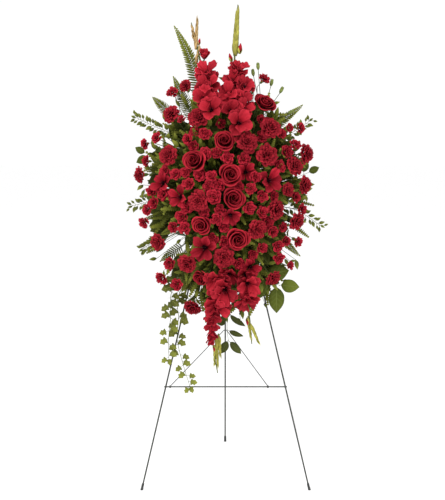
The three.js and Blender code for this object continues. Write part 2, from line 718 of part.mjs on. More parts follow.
// Gladiolus: florets along one tall stem, smaller towards its tip, then buds and a pointed sheath.
const GLADIOLI = {
  gladiolus_upper_left: {
    line: [[210, 120, 60], [206, 98, 70], [203, 74, 88], [198, 51, 100], [195.8, 41, 104], [191.3, 22.6, 108]],
    florets: [
      { px: 211, py: 108, size: 90, y: -45 },
      { px: 203.5, py: 97, size: 93, y: -20 },
      { px: 207.6, py: 84, size: 102, y: 6 },
      { px: 207, py: 70, size: 88, y: 34 },
      { px: 204.4, py: 55, size: 56, y: 64 },
    ],
    buds: [
      { px: 197.2, py: 19, size: 20, y: 104, face: [0.15, 0, 1] },
      { px: 199.2, py: 42, size: 26, y: 96, face: [0.2, -0.3, 1] },
    ],
    sheaths: [
      { px: 196.4, py: 33, size: 120, y: 104, face: [0.1, 0, 1] },
      { px: 192.9, py: 32, size: 70, y: 106, face: [-0.2, 0, 1] },
    ],
  },
  gladiolus_upper_right: {
    line: [[240, 126, 60], [238, 104, 66], [236, 84, 80], [234.6, 60, 96], [235.6, 40, 104], [237.9, 4.6, 110]],
    florets: [
      { px: 240, py: 122, size: 95, y: -46 },
      { px: 231, py: 110, size: 85, y: -20 },
      { px: 242, py: 101, size: 88, y: 6 },
      { px: 228, py: 93, size: 81, y: 12 },
      { px: 245.8, py: 84, size: 81, y: 34 },
      { px: 231.4, py: 78, size: 76, y: 42 },
      { px: 241, py: 67, size: 61, y: 62 },
    ],
    buds: [
      { px: 240, py: 49, size: 40, y: 92, face: [0.1, -0.2, 1] },
      { px: 230.6, py: 58, size: 34, y: 90, face: [-0.3, -0.3, 1] },
    ],
    sheaths: [{ px: 236.4, py: 30, size: 190, y: 107, face: [0.06, 0.03, 1] }],
  },
  gladiolus_lower_left: {
    line: [[226, 262, 20], [222, 284, 20], [219, 304, 26], [214, 326, 34], [213, 344, 38], [217.6, 373, 40]],
    florets: [
      { px: 229, py: 276.6, size: 78, y: -4 },
      { px: 214.4, py: 281, size: 78, y: -30 },
      { px: 224.6, py: 293, size: 100, y: -62 },
      { px: 217.5, py: 309, size: 93, y: -34 },
      { px: 212.5, py: 318.5, size: 74, y: -20 },
      { px: 212, py: 327, size: 61, y: -8 },
      { px: 211.5, py: 334, size: 50, y: 2 },
      { px: 210.6, py: 340.5, size: 40, y: 12 },
    ],
    buds: [
      { px: 219.4, py: 340, size: 56, y: 30, face: [0, -0.05, -1] },
      { px: 213.6, py: 362, size: 44, y: 38, face: [0.05, 0, -1] },
    ],
    sheaths: [{ px: 216, py: 357, size: 124, y: 39, face: [0.1, 0, -1] }],
  },
  gladiolus_lower_right: {
    line: [[243, 262, 30], [246, 284, 30], [247, 302, 34], [249.5, 318, 38], [251.8, 344, 42]],
    florets: [
      { px: 248.6, py: 286, size: 93, y: -34 },
      { px: 244.4, py: 304, size: 88, y: -6 },
    ],
    buds: [
      { px: 250, py: 318, size: 34, y: 26, face: [0.1, -0.4, -1] },
      { px: 256.4, py: 334, size: 56, y: 38, face: [0.5, 0, -1] },
    ],
    sheaths: [{ px: 251, py: 331, size: 92, y: 40, face: [0.05, 0, -1] }],
  },
};

function gladiolus(name, { line, florets, buds, sheaths }) {
  const points = line.map(([px, py, y]) => seen(px, py, y));
  const sink = sinkPoint(points[0]);
  const pieces = [
    stem([sink, points[0]], GLADIOLUS_STEM, 4, 1),
    stem(points.slice(0, 4), GLADIOLUS_STEM, 4, 4),
    stem(points.slice(3), GLADIOLUS_TIP, 4, 3),
  ];
  drill(sink, points[0], GLADIOLUS_STEM);
  const samples = new THREE.CatmullRomCurve3(points, false, 'centripetal').getSpacedPoints(80);
  const nearest = (at) => samples.reduce((best, p) => (p.distanceTo(at) < best.distanceTo(at) ? p : best));
  const away = points[points.length - 1].clone().sub(points[0]).normalize();
  florets.forEach((spot, k) => {
    const at = seen(spot.px, spot.py, spot.y);
    const foot = nearest(at.clone().addScaledVector(away, -spot.size * 0.3));
    const facing = at.clone().sub(foot).normalize().multiplyScalar(0.4);
    facing.add(vec(0, -0.8, 0)).add(outwardAt(spot).multiplyScalar(0.3)).normalize();
    const size = spot.size / 2;
    pieces.push(head(FUNNEL, size, at, facing, k * 0.5, [foot], GLADIOLUS_TIP));
  });
  for (const spot of buds) {
    const at = seen(spot.px, spot.py, spot.y);
    const facing = vec(...spot.face).normalize();
    const size = spot.size / 2;
    const foot = nearest(at.clone().addScaledVector(facing, -size * 1.6));
    pieces.push(head(BUD, size, at, facing, 0, [foot], 1.4));
  }
  for (const spot of sheaths) {
    const at = seen(spot.px, spot.py, spot.y);
    const facing = vec(...spot.face).normalize();
    const size = spot.size / 2;
    const foot = nearest(at.clone().addScaledVector(facing, -size * 1.1));
    pieces.push(head(SHEATH, size, at, facing, 0, [foot], GLADIOLUS_TIP));
  }
  addPlant(name, pieces, 'gladiolus');
}

// Foliage

// Leaf shapes: along the leaf from 0 to 1, and across it in halves of its width; lower edge, tip, upper edge.
const LEAFLET = [[0.5, -0.5], [1, 0.15]];
const OVAL_LEAF = [[0.35, -0.5], [0.75, -0.36], [1, 0], [0.7, 0.42], [0.3, 0.46]];
const SMALL_LEAF = [[0.4, -0.5], [1, 0], [0.45, 0.5]];
const IVY_LEAF = [[0.12, -0.5], [0.4, -0.28], [0.62, -0.4], [1, 0], [0.62, 0.4], [0.4, 0.28], [0.12, 0.5]];

// One side of a leafy stem's outline, from its sunk end to its tip, with its leaves: which of the points lie on
// the stem, and which go round each leaf.
function outlineSide(leaves, half, length, side) {
  const outline = [[0, half], [STRAIGHT_LENGTH, half]];
  const onStem = [0, 1];
  const blades = [];
  const addStemPoint = (u, v) => {
    onStem.push(outline.length);
    outline.push([u, v]);
  };
  for (const leaf of leaves.filter((each) => each.side === side)) {
    const along = [Math.cos(leaf.angle), Math.sin(leaf.angle)];
    const across = [Math.sin(leaf.angle), -Math.cos(leaf.angle)];
    const stalk = leaf.stalk ?? 0;
    const first = outline.length;
    addStemPoint(leaf.u - leaf.root, half);
    for (const [s, t] of leaf.shape) {
      const reach = stalk + s * leaf.length;
      const aside = t * leaf.width;
      const u = leaf.u + along[0] * reach + across[0] * aside;
      outline.push([u, half + along[1] * reach + across[1] * aside]);
    }
    addStemPoint(leaf.u + leaf.root, half);
    blades.push(Array.from({ length: outline.length - first }, (_, k) => first + k));
  }
  addStemPoint(length - 3, half * 0.7);
  return { outline: outline.map(([u, v]) => [u, side * v]), onStem, blades };
}

// Triangles of a leafy stem's flat outline: the stem zipped up along its length, and each leaf by itself.
function flatFaces(points, left, right, shift) {
  const faces = [];
  let [i, j] = [0, 0];
  const rightStem = right.onStem.map((k) => k + shift);
  while (i < left.onStem.length - 1 || j < rightStem.length - 1) {
    const leftNext = points[left.onStem[i + 1]]?.[0] ?? Infinity;
    const rightNext = points[rightStem[j + 1]]?.[0] ?? Infinity;
    if (j === rightStem.length - 1 || (i < left.onStem.length - 1 && leftNext <= rightNext)) {
      faces.push([left.onStem[i], left.onStem[i + 1], rightStem[j]]);
      i += 1;
    } else {
      faces.push([left.onStem[i], rightStem[j + 1], rightStem[j]]);
      j += 1;
    }
  }
  faces.push([left.onStem[i], shift - 1, rightStem[j]]);
  const blades = [...left.blades, ...right.blades.map((blade) => blade.map((k) => k + shift).reverse())];
  for (const blade of blades) {
    const contour = blade.map((k) => new THREE.Vector2(...points[k]));
    for (const [a, b, c] of THREE.ShapeUtils.triangulateShape(contour, [])) {
      const turn = (contour[b].x - contour[a].x) * (contour[c].y - contour[a].y)
        - (contour[b].y - contour[a].y) * (contour[c].x - contour[a].x);
      faces.push(turn > 0 ? [blade[a], blade[b], blade[c]] : [blade[a], blade[c], blade[b]]);
    }
  }
  return faces;
}

// A leafy stem: one outline of stem and leaves, given thickness and bent along a line in space.
function leafy({ points, leaves, half = 1.2, thickness = 1.2, facing = vec(0, -1, 0), arch = 0 }) {
  const curve = new THREE.CatmullRomCurve3(points, false, 'centripetal');
  const length = curve.getLength();
  const left = outlineSide(leaves, half, length, -1);
  const right = outlineSide(leaves, half, length, 1);
  const flat = [...left.outline, [length, 0], ...right.outline];
  const shift = left.outline.length + 1;
  const faces = flatFaces(flat, left, right, shift);
  const loop = [...Array(shift).keys(), ...right.outline.map((_, k) => shift + k).reverse()];
  const count = flat.length;
  const triangles = faces.flatMap(([a, b, c]) => [a, b, c, c + count, b + count, a + count]);
  loop.forEach((a, k) => {
    const b = loop[(k + 1) % loop.length];
    triangles.push(a + count, b + count, b, a + count, b, a);
  });
  const make = (grow) => {
    const depth = thickness * (1 + 30 * (grow - 1));
    const places = [];
    for (const level of [depth / 2, -depth / 2]) {
      for (const [u, v] of flat) {
        const t = Math.max(0, Math.min(1, u / length));
        const along = curve.getTangentAt(t);
        const normal = facing.clone().addScaledVector(along, -facing.dot(along)).normalize();
        const across = normal.clone().cross(along);
        const place = curve.getPointAt(t).addScaledVector(along, u - t * length);
        place.addScaledVector(across, v * grow).addScaledVector(normal, level - arch * v * v);
        places.push(...place.toArray());
      }
    }
    const geometry = new THREE.BufferGeometry();
    geometry.setAttribute('position', new THREE.Float32BufferAttribute(places, 3));
    geometry.setIndex(triangles);
    return solid(geometry);
  };
  return { body: make(1), near: make(1.02), keep: make(1.05) };
}

// Leaflets of a frond in pairs, longest a third of the way up.
function frondLeaves(length, bare, pairs, reach) {
  const leaves = [];
  const pitch = (length - bare) / (pairs + 0.6);
  for (let k = 0; k < pairs; k += 1) {
    const t = k / (pairs - 1);
    const size = reach * (0.62 + 1.15 * t - 1.5 * t * t);
    for (const side of [-1, 1]) {
      leaves.push({
        u: bare + pitch * (k + 0.6),
        side,
        angle: 1.15 - 0.35 * t,
        length: Math.max(size, reach * 0.2),
        width: pitch * 0.62,
        root: pitch * 0.22,
        shape: LEAFLET,
      });
    }
  }
  return leaves;
}

// Alternate leaves along a stem.
function alternateLeaves(length, bare, count, size, width, shape, angle, stalk) {
  const leaves = [];
  const pitch = (length - bare) / count;
  for (let k = 0; k < count; k += 1) {
    const taper = 1 - 0.35 * (k / count);
    leaves.push({
      u: bare + pitch * (k + 0.35),
      side: k % 2 ? 1 : -1,
      angle,
      length: size * taper,
      width: width * taper,
      root: LEAF_ROOT,
      stalk: size * stalk,
      shape,
    });
  }
  return leaves;
}

// Lines of the leafy stems of one node: the first is sunk in the foam, and the others branch from it.
function stemLines(plans) {
  const lines = [];
  for (const { line } of plans) {
    const points = line.map(([px, py, y]) => seen(px, py, y));
    if (lines.length) {
      const fork = lines[0][0].clone().lerp(straightEnd(lines[0]), BRANCH_SHARE);
      lines.push([fork.addScaledVector(FORWARD, 0.4), ...points]);
    } else {
      lines.push([sinkPoint(points[0], STEM_SINK.leafBase), ...points]);
      drill(lines[0][0], straightEnd(lines[0]), LEAF_STEM);
    }
  }
  return lines;
}

// Where the straight stretch of a leafy stem, which stands in the foam, ends.
function straightEnd(points) {
  const curve = new THREE.CatmullRomCurve3(points, false, 'centripetal');
  return curve.getPointAt(STRAIGHT_LENGTH / curve.getLength());
}

function lineLength(points) {
  return new THREE.CatmullRomCurve3(points, false, 'centripetal').getLength();
}

// Distance along the line, from its sunk end, to a given point in the line's list.
function lengthTo(points, index) {
  return lineLength(points.slice(0, index + 1));
}

const FERNS = {
  fern_top_left: [{
    line: [[205, 112, 110], [196, 78, 116], [188.8, 55, 118], [175, 26.5, 112]],
    pairs: 11,
    reach: 30,
  }],
  fern_upper_left: [
    {
      line: [[203, 142, 116], [194, 122, 118], [184, 101, 118], [173.7, 76.5, 112]],
      pairs: 8,
      reach: 25,
      bareTo: 2,
    },
    { line: [[176, 121, 130], [166, 110, 126], [152.9, 97, 116]], pairs: 7, reach: 23 },
  ],
  fern_right_high: [
    { line: [[252, 146, 158], [279, 123, 154], [302.5, 105.6, 144]], pairs: 9, reach: 26 },
    { line: [[246, 112, 184], [253, 84, 176]], pairs: 7, reach: 20 },
  ],
  fern_left: [{ line: [[200, 214, 118], [172, 213.5, 104], [145, 218.5, 92]], pairs: 10, reach: 26 }],
  fern_low_left: [
    { line: [[200, 226, 112], [188, 224, 104], [161, 234, 88]], pairs: 7, reach: 20, bareTo: 2 },
    { line: [[184, 244, 100], [160, 261, 84]], pairs: 7, reach: 22 },
  ],
  fern_low_right: [{ line: [[252, 222, 116], [275, 234, 104], [299.5, 256, 86]], pairs: 9, reach: 25 }],
};

function ferns(name, fronds) {
  const lines = stemLines(fronds);
  const pieces = fronds.map(({ pairs, reach, bareTo = 1 }, k) => {
    const points = lines[k];
    const bare = lengthTo(points, bareTo) + 10;
    const leaves = frondLeaves(lineLength(points), bare, pairs, reach);
    return leafy({ points, leaves, half: 1.4, thickness: 1.3, arch: 0.006 });
  });
  addPlant(name, pieces, 'fern');
}

const SPRIGS = {
  sprig_left_high: [
    { line: [[186, 140, 140], [158, 128, 136], [135, 117, 126]], count: 11, size: 30, width: 17 },
  ],
  sprigs_left: [
    { line: [[186, 204, 134], [156, 201, 122], [130, 206, 112]], count: 10, size: 30, width: 16 },
    { line: [[160, 238, 112], [142, 249, 98]], count: 8, size: 28, width: 16 },
  ],
  sprig_right: [{ line: [[264, 204, 124], [296, 210, 116], [321, 226, 104]], count: 10, size: 30, width: 16 }],
  sprig_right_high: [
    { line: [[262, 152, 172], [290, 134, 168], [310, 121, 154]], count: 9, size: 30, width: 16 },
  ],
};

const SALAL = {
  salal_low_right: [{
    line: [[250, 262, 84], [266, 276, 78], [280, 286, 72]],
    leaves: [
      { at: 0.2, side: -1, angle: 0.9, length: 60, width: 36 },
      { at: 0.55, side: 1, angle: 0.8, length: 76, width: 54 },
      { at: 0.6, side: -1, angle: 1.35, length: 76, width: 36 },
      { at: 0.9, side: -1, angle: 0.95, length: 92, width: 48 },
      { at: 0.96, side: 1, angle: 0.5, length: 62, width: 42 },
    ],
  }],
  salal_low_centre: [{
    line: [[232, 300, 66], [227.5, 318, 62], [227.5, 334, 58], [229, 343, 56]],
    leaves: [
      { at: 0.36, side: 1, angle: 0.9, length: 74, width: 25 },
      { at: 0.5, side: -1, angle: 1.2, length: 36, width: 32 },
      { at: 0.72, side: 1, angle: 1, length: 58, width: 22 },
      { at: 0.93, side: -1, angle: 0.63, length: 50, width: 30 },
      { at: 0.95, side: 1, angle: 0.57, length: 58, width: 28 },
    ],
  }],
  salal_right: [{ line: [[252, 190, 140], [284, 182, 136], [310, 172, 126]], count: 6, size: 66, width: 48 }],
  salal_left: [{ line: [[200, 182, 140], [168, 168, 138], [144, 152, 130]], count: 6, size: 64, width: 46 }],
};

const IVY_LEAVES = { size: 34, width: 34, angle: 1.2, stalk: 0.28 };
const IVY = {
  ivy_long: [{
    line: [[196, 270, 124], [178, 296, 106], [178.5, 318, 90], [177, 338, 76], [181, 357, 62], [186, 374, 50],
      [190.5, 388, 44]],
    count: 12,
    ...IVY_LEAVES,
  }],
  ivy_short: [{
    line: [[186, 262, 96], [171.5, 292, 74], [170.5, 318, 60], [168.5, 340, 51], [169, 360, 44]],
    count: 8,
    ...IVY_LEAVES,
  }],
};

function leafStems(name, plans, shape, finish, thickness) {
  const lines = stemLines(plans);
  const pieces = plans.map(({ leaves: own, count, size, width, angle = 0.9, stalk = STALK_SHARE }, k) => {
    const points = lines[k];
    const length = lineLength(points);
    const bare = lengthTo(points, 1) * BARE_SHARE;
    const leaves = own
      ? own.map((leaf) => ({
        ...leaf,
        u: bare + (length - bare) * leaf.at,
        root: LEAF_ROOT,
        stalk: leaf.length * stalk,
        shape,
      }))
      : alternateLeaves(length, bare, count, size, width, shape, angle, stalk);
    return leafy({ points, leaves, thickness, arch: 0.002 });
  });
  addPlant(name, pieces, finish);
}

const GREEN_BUDS = [
  { px: 253, py: 72.3 },
  { px: 258, py: 66 },
  { px: 271.6, py: 82.4 },
  { px: 281.5, py: 89.8 },
  { px: 291, py: 112 },
];

// Unopened carnation buds, each on its thin stem from one fork.
function greenBuds() {
  const fork = seen(262, 118, 142);
  const sink = sinkPoint(fork);
  const pieces = [stem([sink, fork], BUD_STEM, STEM_SIDES, 1), knot(fork, BUD_STEM)];
  drill(sink, fork, BUD_STEM);
  GREEN_BUDS.forEach(({ px, py }) => {
    const at = seen(px, py, 130);
    const facing = at.clone().sub(fork).normalize().add(vec(0, -0.2, 0.3)).normalize();
    pieces.push(head(BUD, BUD_SIZE, at, facing, 0, [fork], BUD_STALK));
  });
  addPlant('green_buds', pieces, 'bud');
}

function foam() {
  let block = planeBox(FOAM_CENTRE, FOAM_HALF.x, FOAM_HALF.up, FOAM_HALF.front);
  for (const socket of sockets) {
    block = block.subtract(socket);
  }
  addMesh('foam', largest(block), 'foam');
}

frontLegs();
crossbar();
apexFitting();
backLeg();
stay();
tray();
tieWires();
sweptSpace();

Object.entries(GLADIOLI).forEach(([name, plan]) => gladiolus(name, plan));
Object.entries(ROSES).forEach(([name, spots]) => bunch(name, ROSE, spots, ROSE_STEM, 'rose'));
Object.entries(CARNATIONS).forEach(([name, spots]) => {
  bunch(name, CARNATION, spots, CARNATION_STEM, 'carnation');
});
Object.entries(STARS).forEach(([name, spots]) => bunch(name, FUNNEL, spots, STAR_STEM, 'star'));
Object.entries(MINIS).forEach(([name, spots]) => bunch(name, MINI, spots, MINI_STEM, 'mini'));
greenBuds();
Object.entries(SALAL).forEach(([name, plans]) => leafStems(name, plans, OVAL_LEAF, 'salal', 1.2));
Object.entries(FERNS).forEach(([name, fronds]) => ferns(name, fronds));
Object.entries(SPRIGS).forEach(([name, plans]) => leafStems(name, plans, SMALL_LEAF, 'sprig', 1.1));
Object.entries(IVY).forEach(([name, plans]) => leafStems(name, plans, IVY_LEAF, 'ivy', 1.1));
foam();

// The origin is the middle of the part's box, on the surface that it stands on.
const box = new THREE.Box3().setFromObject(group);
const middle = box.getCenter(new THREE.Vector3());
group.position.set(-middle.x, -middle.y, -box.min.z);

export default group;
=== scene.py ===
"""Standing funeral spray: petals, leaves, finishes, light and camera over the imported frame."""
import logging
import math
import random
from dataclasses import dataclass, field
from enum import Enum
from typing import Callable, Iterable, Sequence

import bmesh
import bpy
from mathutils import Matrix, Vector


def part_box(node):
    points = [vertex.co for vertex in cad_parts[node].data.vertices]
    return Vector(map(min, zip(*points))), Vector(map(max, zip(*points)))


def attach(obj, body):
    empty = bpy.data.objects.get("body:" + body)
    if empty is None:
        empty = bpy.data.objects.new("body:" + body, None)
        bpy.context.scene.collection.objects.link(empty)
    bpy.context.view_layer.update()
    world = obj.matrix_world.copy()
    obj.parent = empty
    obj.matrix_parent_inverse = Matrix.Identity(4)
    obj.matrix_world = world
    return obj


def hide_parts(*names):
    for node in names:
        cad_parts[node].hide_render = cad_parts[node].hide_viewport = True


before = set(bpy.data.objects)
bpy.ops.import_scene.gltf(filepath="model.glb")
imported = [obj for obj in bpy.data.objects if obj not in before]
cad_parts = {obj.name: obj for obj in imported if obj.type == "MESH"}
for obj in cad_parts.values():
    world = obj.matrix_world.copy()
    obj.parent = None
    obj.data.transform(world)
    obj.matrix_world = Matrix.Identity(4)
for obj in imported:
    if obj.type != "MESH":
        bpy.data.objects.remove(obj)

log = logging.getLogger("funeral_spray")

MM = 0.001
MM_PER_PIXEL = 3.6
GOLDEN_ANGLE = 2.399963
WORK_FACES = 600
CROSSBAR_Y = 78.702
PETAL_THICKNESS = 0.4
LEAF_THICKNESS = 0.5
TUBE_TONE = 0.5
STEM_SIDES = 7
HEAD_SIDES = 9

Colour = tuple[float, float, float]
Place = tuple[float, float, float]
Pairs = tuple[tuple[float, float], ...]
Surface = Callable[[float, float], Vector]


class Body(Enum):
    """The rigid body of the frame that pieces ride on."""

    STAND = "stand"


class Slot(Enum):
    """The record's material slots, one passed to each finer piece."""

    WIRE = "wire"
    ROSES = "roses"
    CARNATIONS = "carnations"
    MINIS = "mini_carnations"
    STARS = "star_florets"
    GLADIOLI = "gladioli"
    BUDS = "green_buds"
    FERNS = "fern_fronds"
    SPRIGS = "leafy_sprigs"
    SALAL = "salal_leaves"
    IVY = "ivy_vines"


# Places


def frame_shift() -> Vector:
    """How far the frame's origin is from the drawing's, in millimetres, read off the crossbar.

    Returns:
        The drawing's origin in the frame.
    """
    low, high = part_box("crossbar")
    middle = (low + high) / 2 / MM
    return Vector((middle.x, middle.y - CROSSBAR_Y, 0))


SHIFT = frame_shift()
TO_FRAME = Matrix.Scale(MM, 4) @ Matrix.Translation(SHIFT)


@dataclass(frozen=True)
class View:
    """The photograph's view: eye point in millimetres, downward tilt, and focal length in pixels."""

    eye: Place = (-11.0, -3500.0, 1300.0)
    tilt: float = math.radians(7)
    focal: float = 1009.0
    centre: tuple[float, float] = (222.5, 250.0)
    height: int = 500

    def seen(self, px: float, py: float, y: float) -> Vector:
        """The point at depth y that the view shows at a pixel.

        Args:
            px: Pixels from the left edge.
            py: Pixels from the top edge.
            y: Depth in the drawing, in millimetres.

        Returns:
            The point in the drawing, in millimetres.
        """
        across = (px - self.centre[0]) / self.focal
        down = (py - self.centre[1]) / self.focal
        rise = -math.sin(self.tilt) - down * math.cos(self.tilt)
        run = math.cos(self.tilt) - down * math.sin(self.tilt)
        distance = (y - self.eye[1]) / run
        return Vector((self.eye[0] + across * distance, y, self.eye[2] + rise * distance))

    def pixel(self, point: Vector) -> tuple[float, float]:
        """The pixel that shows a point of the drawing.

        Args:
            point: The point, in millimetres.

        Returns:
            Its pixels from the left edge and from the top edge.
        """
        x, y, z = point - Vector(self.eye)
        low, level, slope = math.sin(self.tilt), math.cos(self.tilt), z / y
        down = -(low + slope * level) / (level - slope * low)
        distance = y / (level - down * low)
        return self.centre[0] + self.focal * x / distance, self.centre[1] + self.focal * down


VIEW = View()


@dataclass(frozen=True)
class Oval:
    """The spray's front, which bulges towards the viewer."""

    px: float = 225.6
    py: float = 200.0
    half_width: float = 88.0
    half_height: float = 125.0
    near: float = -70.0
    far: float = 70.0
    edge: float = 1.3
    turn_out: float = 0.85
    turn_up: float = 0.5
    tilt_up: float = 0.05

    def depth(self, px: float, py: float) -> float:
        """Depth of the front at a pixel."""
        out = ((px - self.px) / self.half_width) ** 2 + ((py - self.py) / self.half_height) ** 2
        return self.near + (self.far - self.near) * min(out, self.edge)

    def spiral(self, share: float, turn: float) -> tuple[float, float]:
        """The pixel at a share of the oval's radius and an angle about its middle."""
        return (self.px + self.half_width * share * math.cos(turn),
                self.py + self.half_height * share * math.sin(turn))

    def outward(self, px: float, py: float) -> Vector:
        """The way that a flower at a pixel faces.

        Args:
            px: Pixels from the left edge.
            py: Pixels from the top edge.

        Returns:
            The unit direction.
        """
        sideways = self.turn_out * (px - self.px) / self.half_width
        upward = -self.turn_up * (py - self.py) / self.half_height
        return Vector((sideways, -1, upward + self.tilt_up)).normalized()


OVAL = Oval()


@dataclass(frozen=True)
class Foam:
    """The foam block that every stem stands in, in the leaning plane of the front legs."""

    apex: tuple[float, float] = (260.0, 1282.0)
    along: float = 1072.0
    front: float = 46.1
    sink: Place = (0.19, 0.36, 0.16)
    limit: Place = (46.0, 122.0, 32.0)

    @property
    def up(self) -> Vector:
        """Unit vector up the plane of the legs."""
        return Vector((0, *self.apex)).normalized()

    @property
    def forward(self) -> Vector:
        """Unit vector out of that plane, towards the viewer."""
        return Vector((0, -self.apex[1], self.apex[0])).normalized()

    @property
    def centre(self) -> Vector:
        """Middle of the block."""
        return self.up * self.along + self.forward * self.front

    def sink_point(self, place: Vector, base: float = -14.0) -> Vector:
        """Where a stem that goes out to a place ends in the foam.

        Args:
            place: The place that the stem goes out to.
            base: How far in front of the block's middle a central stem ends.

        Returns:
            The end of the stem.
        """
        rel = place - self.centre
        across = max(-self.limit[0], min(self.limit[0], rel.x * self.sink[0]))
        up = max(-self.limit[1], min(self.limit[1], rel.dot(self.up) * self.sink[1]))
        out = max(-self.limit[2], min(self.limit[2], rel.dot(self.forward) * self.sink[2] + base))
        return self.centre + Vector((across, 0, 0)) + self.up * up + self.forward * out


FOAM = Foam()


class Line:
    """A smooth line through points, measured along its length in millimetres."""

    STEPS = 24

    def __init__(self, points: list[Vector]) -> None:
        """Samples the line.

        Args:
            points: The points that it passes through.
        """
        self.points = points
        self.samples: list[Vector] = []
        ends = [points[0] * 2 - points[1], *points, points[-1] * 2 - points[-2]]
        for k in range(len(points) - 1):
            first = 0 if k == 0 else 1
            for step in range(first, self.STEPS + 1):
                self.samples.append(self._spline(ends[k:k + 4], step / self.STEPS))
        self.lengths = [0.0]
        for one, two in zip(self.samples, self.samples[1:]):
            self.lengths.append(self.lengths[-1] + (two - one).length)
        self.length = self.lengths[-1]

    @staticmethod
    def _spline(four: list[Vector], t: float) -> Vector:
        """A point of the centripetal spline between the middle two of four points.

        Args:
            four: The points.
            t: How far along, from 0 to 1.

        Returns:
            The point.
        """
        a, b, c, d = four
        first, middle, last = (math.sqrt((q - p).length) or 1.0 for p, q in ((a, b), (b, c), (c, d)))
        leave = ((b - a) / first - (c - a) / (first + middle) + (c - b) / middle) * middle
        arrive = ((c - b) / middle - (d - b) / (middle + last) + (d - c) / last) * middle
        cubic = b * 2 - c * 2 + leave + arrive
        square = c * 3 - b * 3 - leave * 2 - arrive
        return b + leave * t + square * t * t + cubic * t * t * t

    def at(self, distance: float) -> tuple[Vector, Vector]:
        """The point at a distance along the line, and the line's direction there.

        Args:
            distance: Distance from the first point; past either end the line goes straight on.

        Returns:
            The point and the unit direction.
        """
        low, high = 0, len(self.lengths) - 1
        while high - low > 1:
            middle = (low + high) // 2
            low, high = (middle, high) if self.lengths[middle] <= distance else (low, middle)
        step = self.samples[high] - self.samples[low]
        way = step.normalized()
        return self.samples[low] + way * (distance - self.lengths[low]), way

    def length_to(self, index: int) -> float:
        """Distance from the first point to another of the line's points."""
        return self.lengths[index * self.STEPS]

    def nearest(self, place: Vector) -> Vector:
        """The sample that is nearest to a place."""
        return min(self.samples, key=lambda sample: (sample - place).length)


# Finishes


class Shader:
    """A material under construction: one principled shader and the nodes that feed it."""

    def __init__(self, name: str) -> None:
        """Makes the material.

        Args:
            name: The material's name.
        """
        self.material = bpy.data.materials.new(name)
        self.material.use_nodes = True
        self.tree = self.material.node_tree
        self.surface = self.tree.nodes["Principled BSDF"]

    def set(self, **sockets: object) -> None:
        """Sets the shader's own sockets, with underscores in place of spaces."""
        for name, value in sockets.items():
            self.surface.inputs[name.replace("_", " ")].default_value = value

    def node(self, kind: str, links: dict[int | str, object] | None = None,
             **settings: object) -> bpy.types.Node:
        """Adds a node.

        Args:
            kind: The node's type, without its common prefix.
            links: Sockets to link from, or values to set, by input.
            settings: The node's own settings.

        Returns:
            The node.
        """
        made = self.tree.nodes.new("ShaderNode" + kind)
        for name, value in settings.items():
            setattr(made, name, value)
        for key, value in (links or {}).items():
            if isinstance(value, bpy.types.NodeSocket):
                self.tree.links.new(value, made.inputs[key])
            else:
                made.inputs[key].default_value = value
        return made

    def attribute(self, name: str) -> bpy.types.NodeSocket:
        """The value of one of the piece's own attributes."""
        return self.node("Attribute", attribute_name=name).outputs["Fac"]

    def place(self) -> bpy.types.NodeSocket:
        """The piece's own coordinates, in metres."""
        return self.node("TexCoord").outputs["Object"]

    def math(self, operation: str, *values: object) -> bpy.types.NodeSocket:
        """The result of a sum on one to three values."""
        return self.node("Math", dict(enumerate(values)), operation=operation).outputs[0]

    def wave(self, angle: bpy.types.NodeSocket) -> bpy.types.NodeSocket:
        """A sine wave, from 0 to 1."""
        return self.math("MULTIPLY_ADD", self.math("SINE", angle), 0.5, 0.5)

    def noise(self, scale: float, detail: float = 3.0) -> bpy.types.NodeSocket:
        """Noise on the piece's own coordinates."""
        links = {"Vector": self.place(), "Scale": scale, "Detail": detail}
        return self.node("TexNoise", links).outputs["Fac"]

    def ramp(self, factor: bpy.types.NodeSocket,
             stops: Iterable[tuple[float, Colour]]) -> bpy.types.NodeSocket:
        """A colour ramp.

        Args:
            factor: What runs along the ramp.
            stops: Place and colour of each stop.

        Returns:
            The colour.
        """
        made = self.node("ValToRGB", {0: factor})
        elements = made.color_ramp.elements
        for k, (place, colour) in enumerate(stops):
            element = elements[k] if k < 2 else elements.new(place)
            element.position = place
            element.color = (*colour, 1.0)
        return made.outputs["Color"]

    def mix(self, factor: object, one: object, two: object, blend: str = "MIX") -> bpy.types.NodeSocket:
        """Mixes two colours."""
        values = {0: factor, 6: one, 7: two}
        return self.node("Mix", values, data_type="RGBA", blend_type=blend).outputs[2]

    def shaded(self, colour: object, darkest: float, spread: float, patch: float) -> bpy.types.NodeSocket:
        """Darkens a colour by the blade's own tone and by soft patches.

        Args:
            colour: The colour's socket.
            darkest: The darkest blade's brightness.
            spread: How much brighter the brightest is.
            patch: The patches' scale.

        Returns:
            The darkened colour.
        """
        tone = self.math("MULTIPLY_ADD", self.attribute("tone"), spread, darkest)
        patches = self.math("MULTIPLY_ADD", self.noise(patch), 0.5, 0.75)
        shade = self.math("MULTIPLY", tone, patches)
        grey = self.node("CombineColor", {0: shade, 1: shade, 2: shade}).outputs[0]
        return self.mix(1.0, colour, grey, "MULTIPLY")

    def finish(self, colour: object, height: object, depth: float, strength: float = 0.6) -> None:
        """Links the colour and the relief to the shader.

        Args:
            colour: The base colour's socket.
            height: The relief's socket, from 0 to 1.
            depth: The relief's depth in metres.
            strength: How strongly the relief shades.
        """
        self.tree.links.new(colour, self.surface.inputs["Base Color"])
        bump = self.node("Bump", {"Height": height, "Distance": depth, "Strength": strength})
        self.tree.links.new(bump.outputs["Normal"], self.surface.inputs["Normal"])


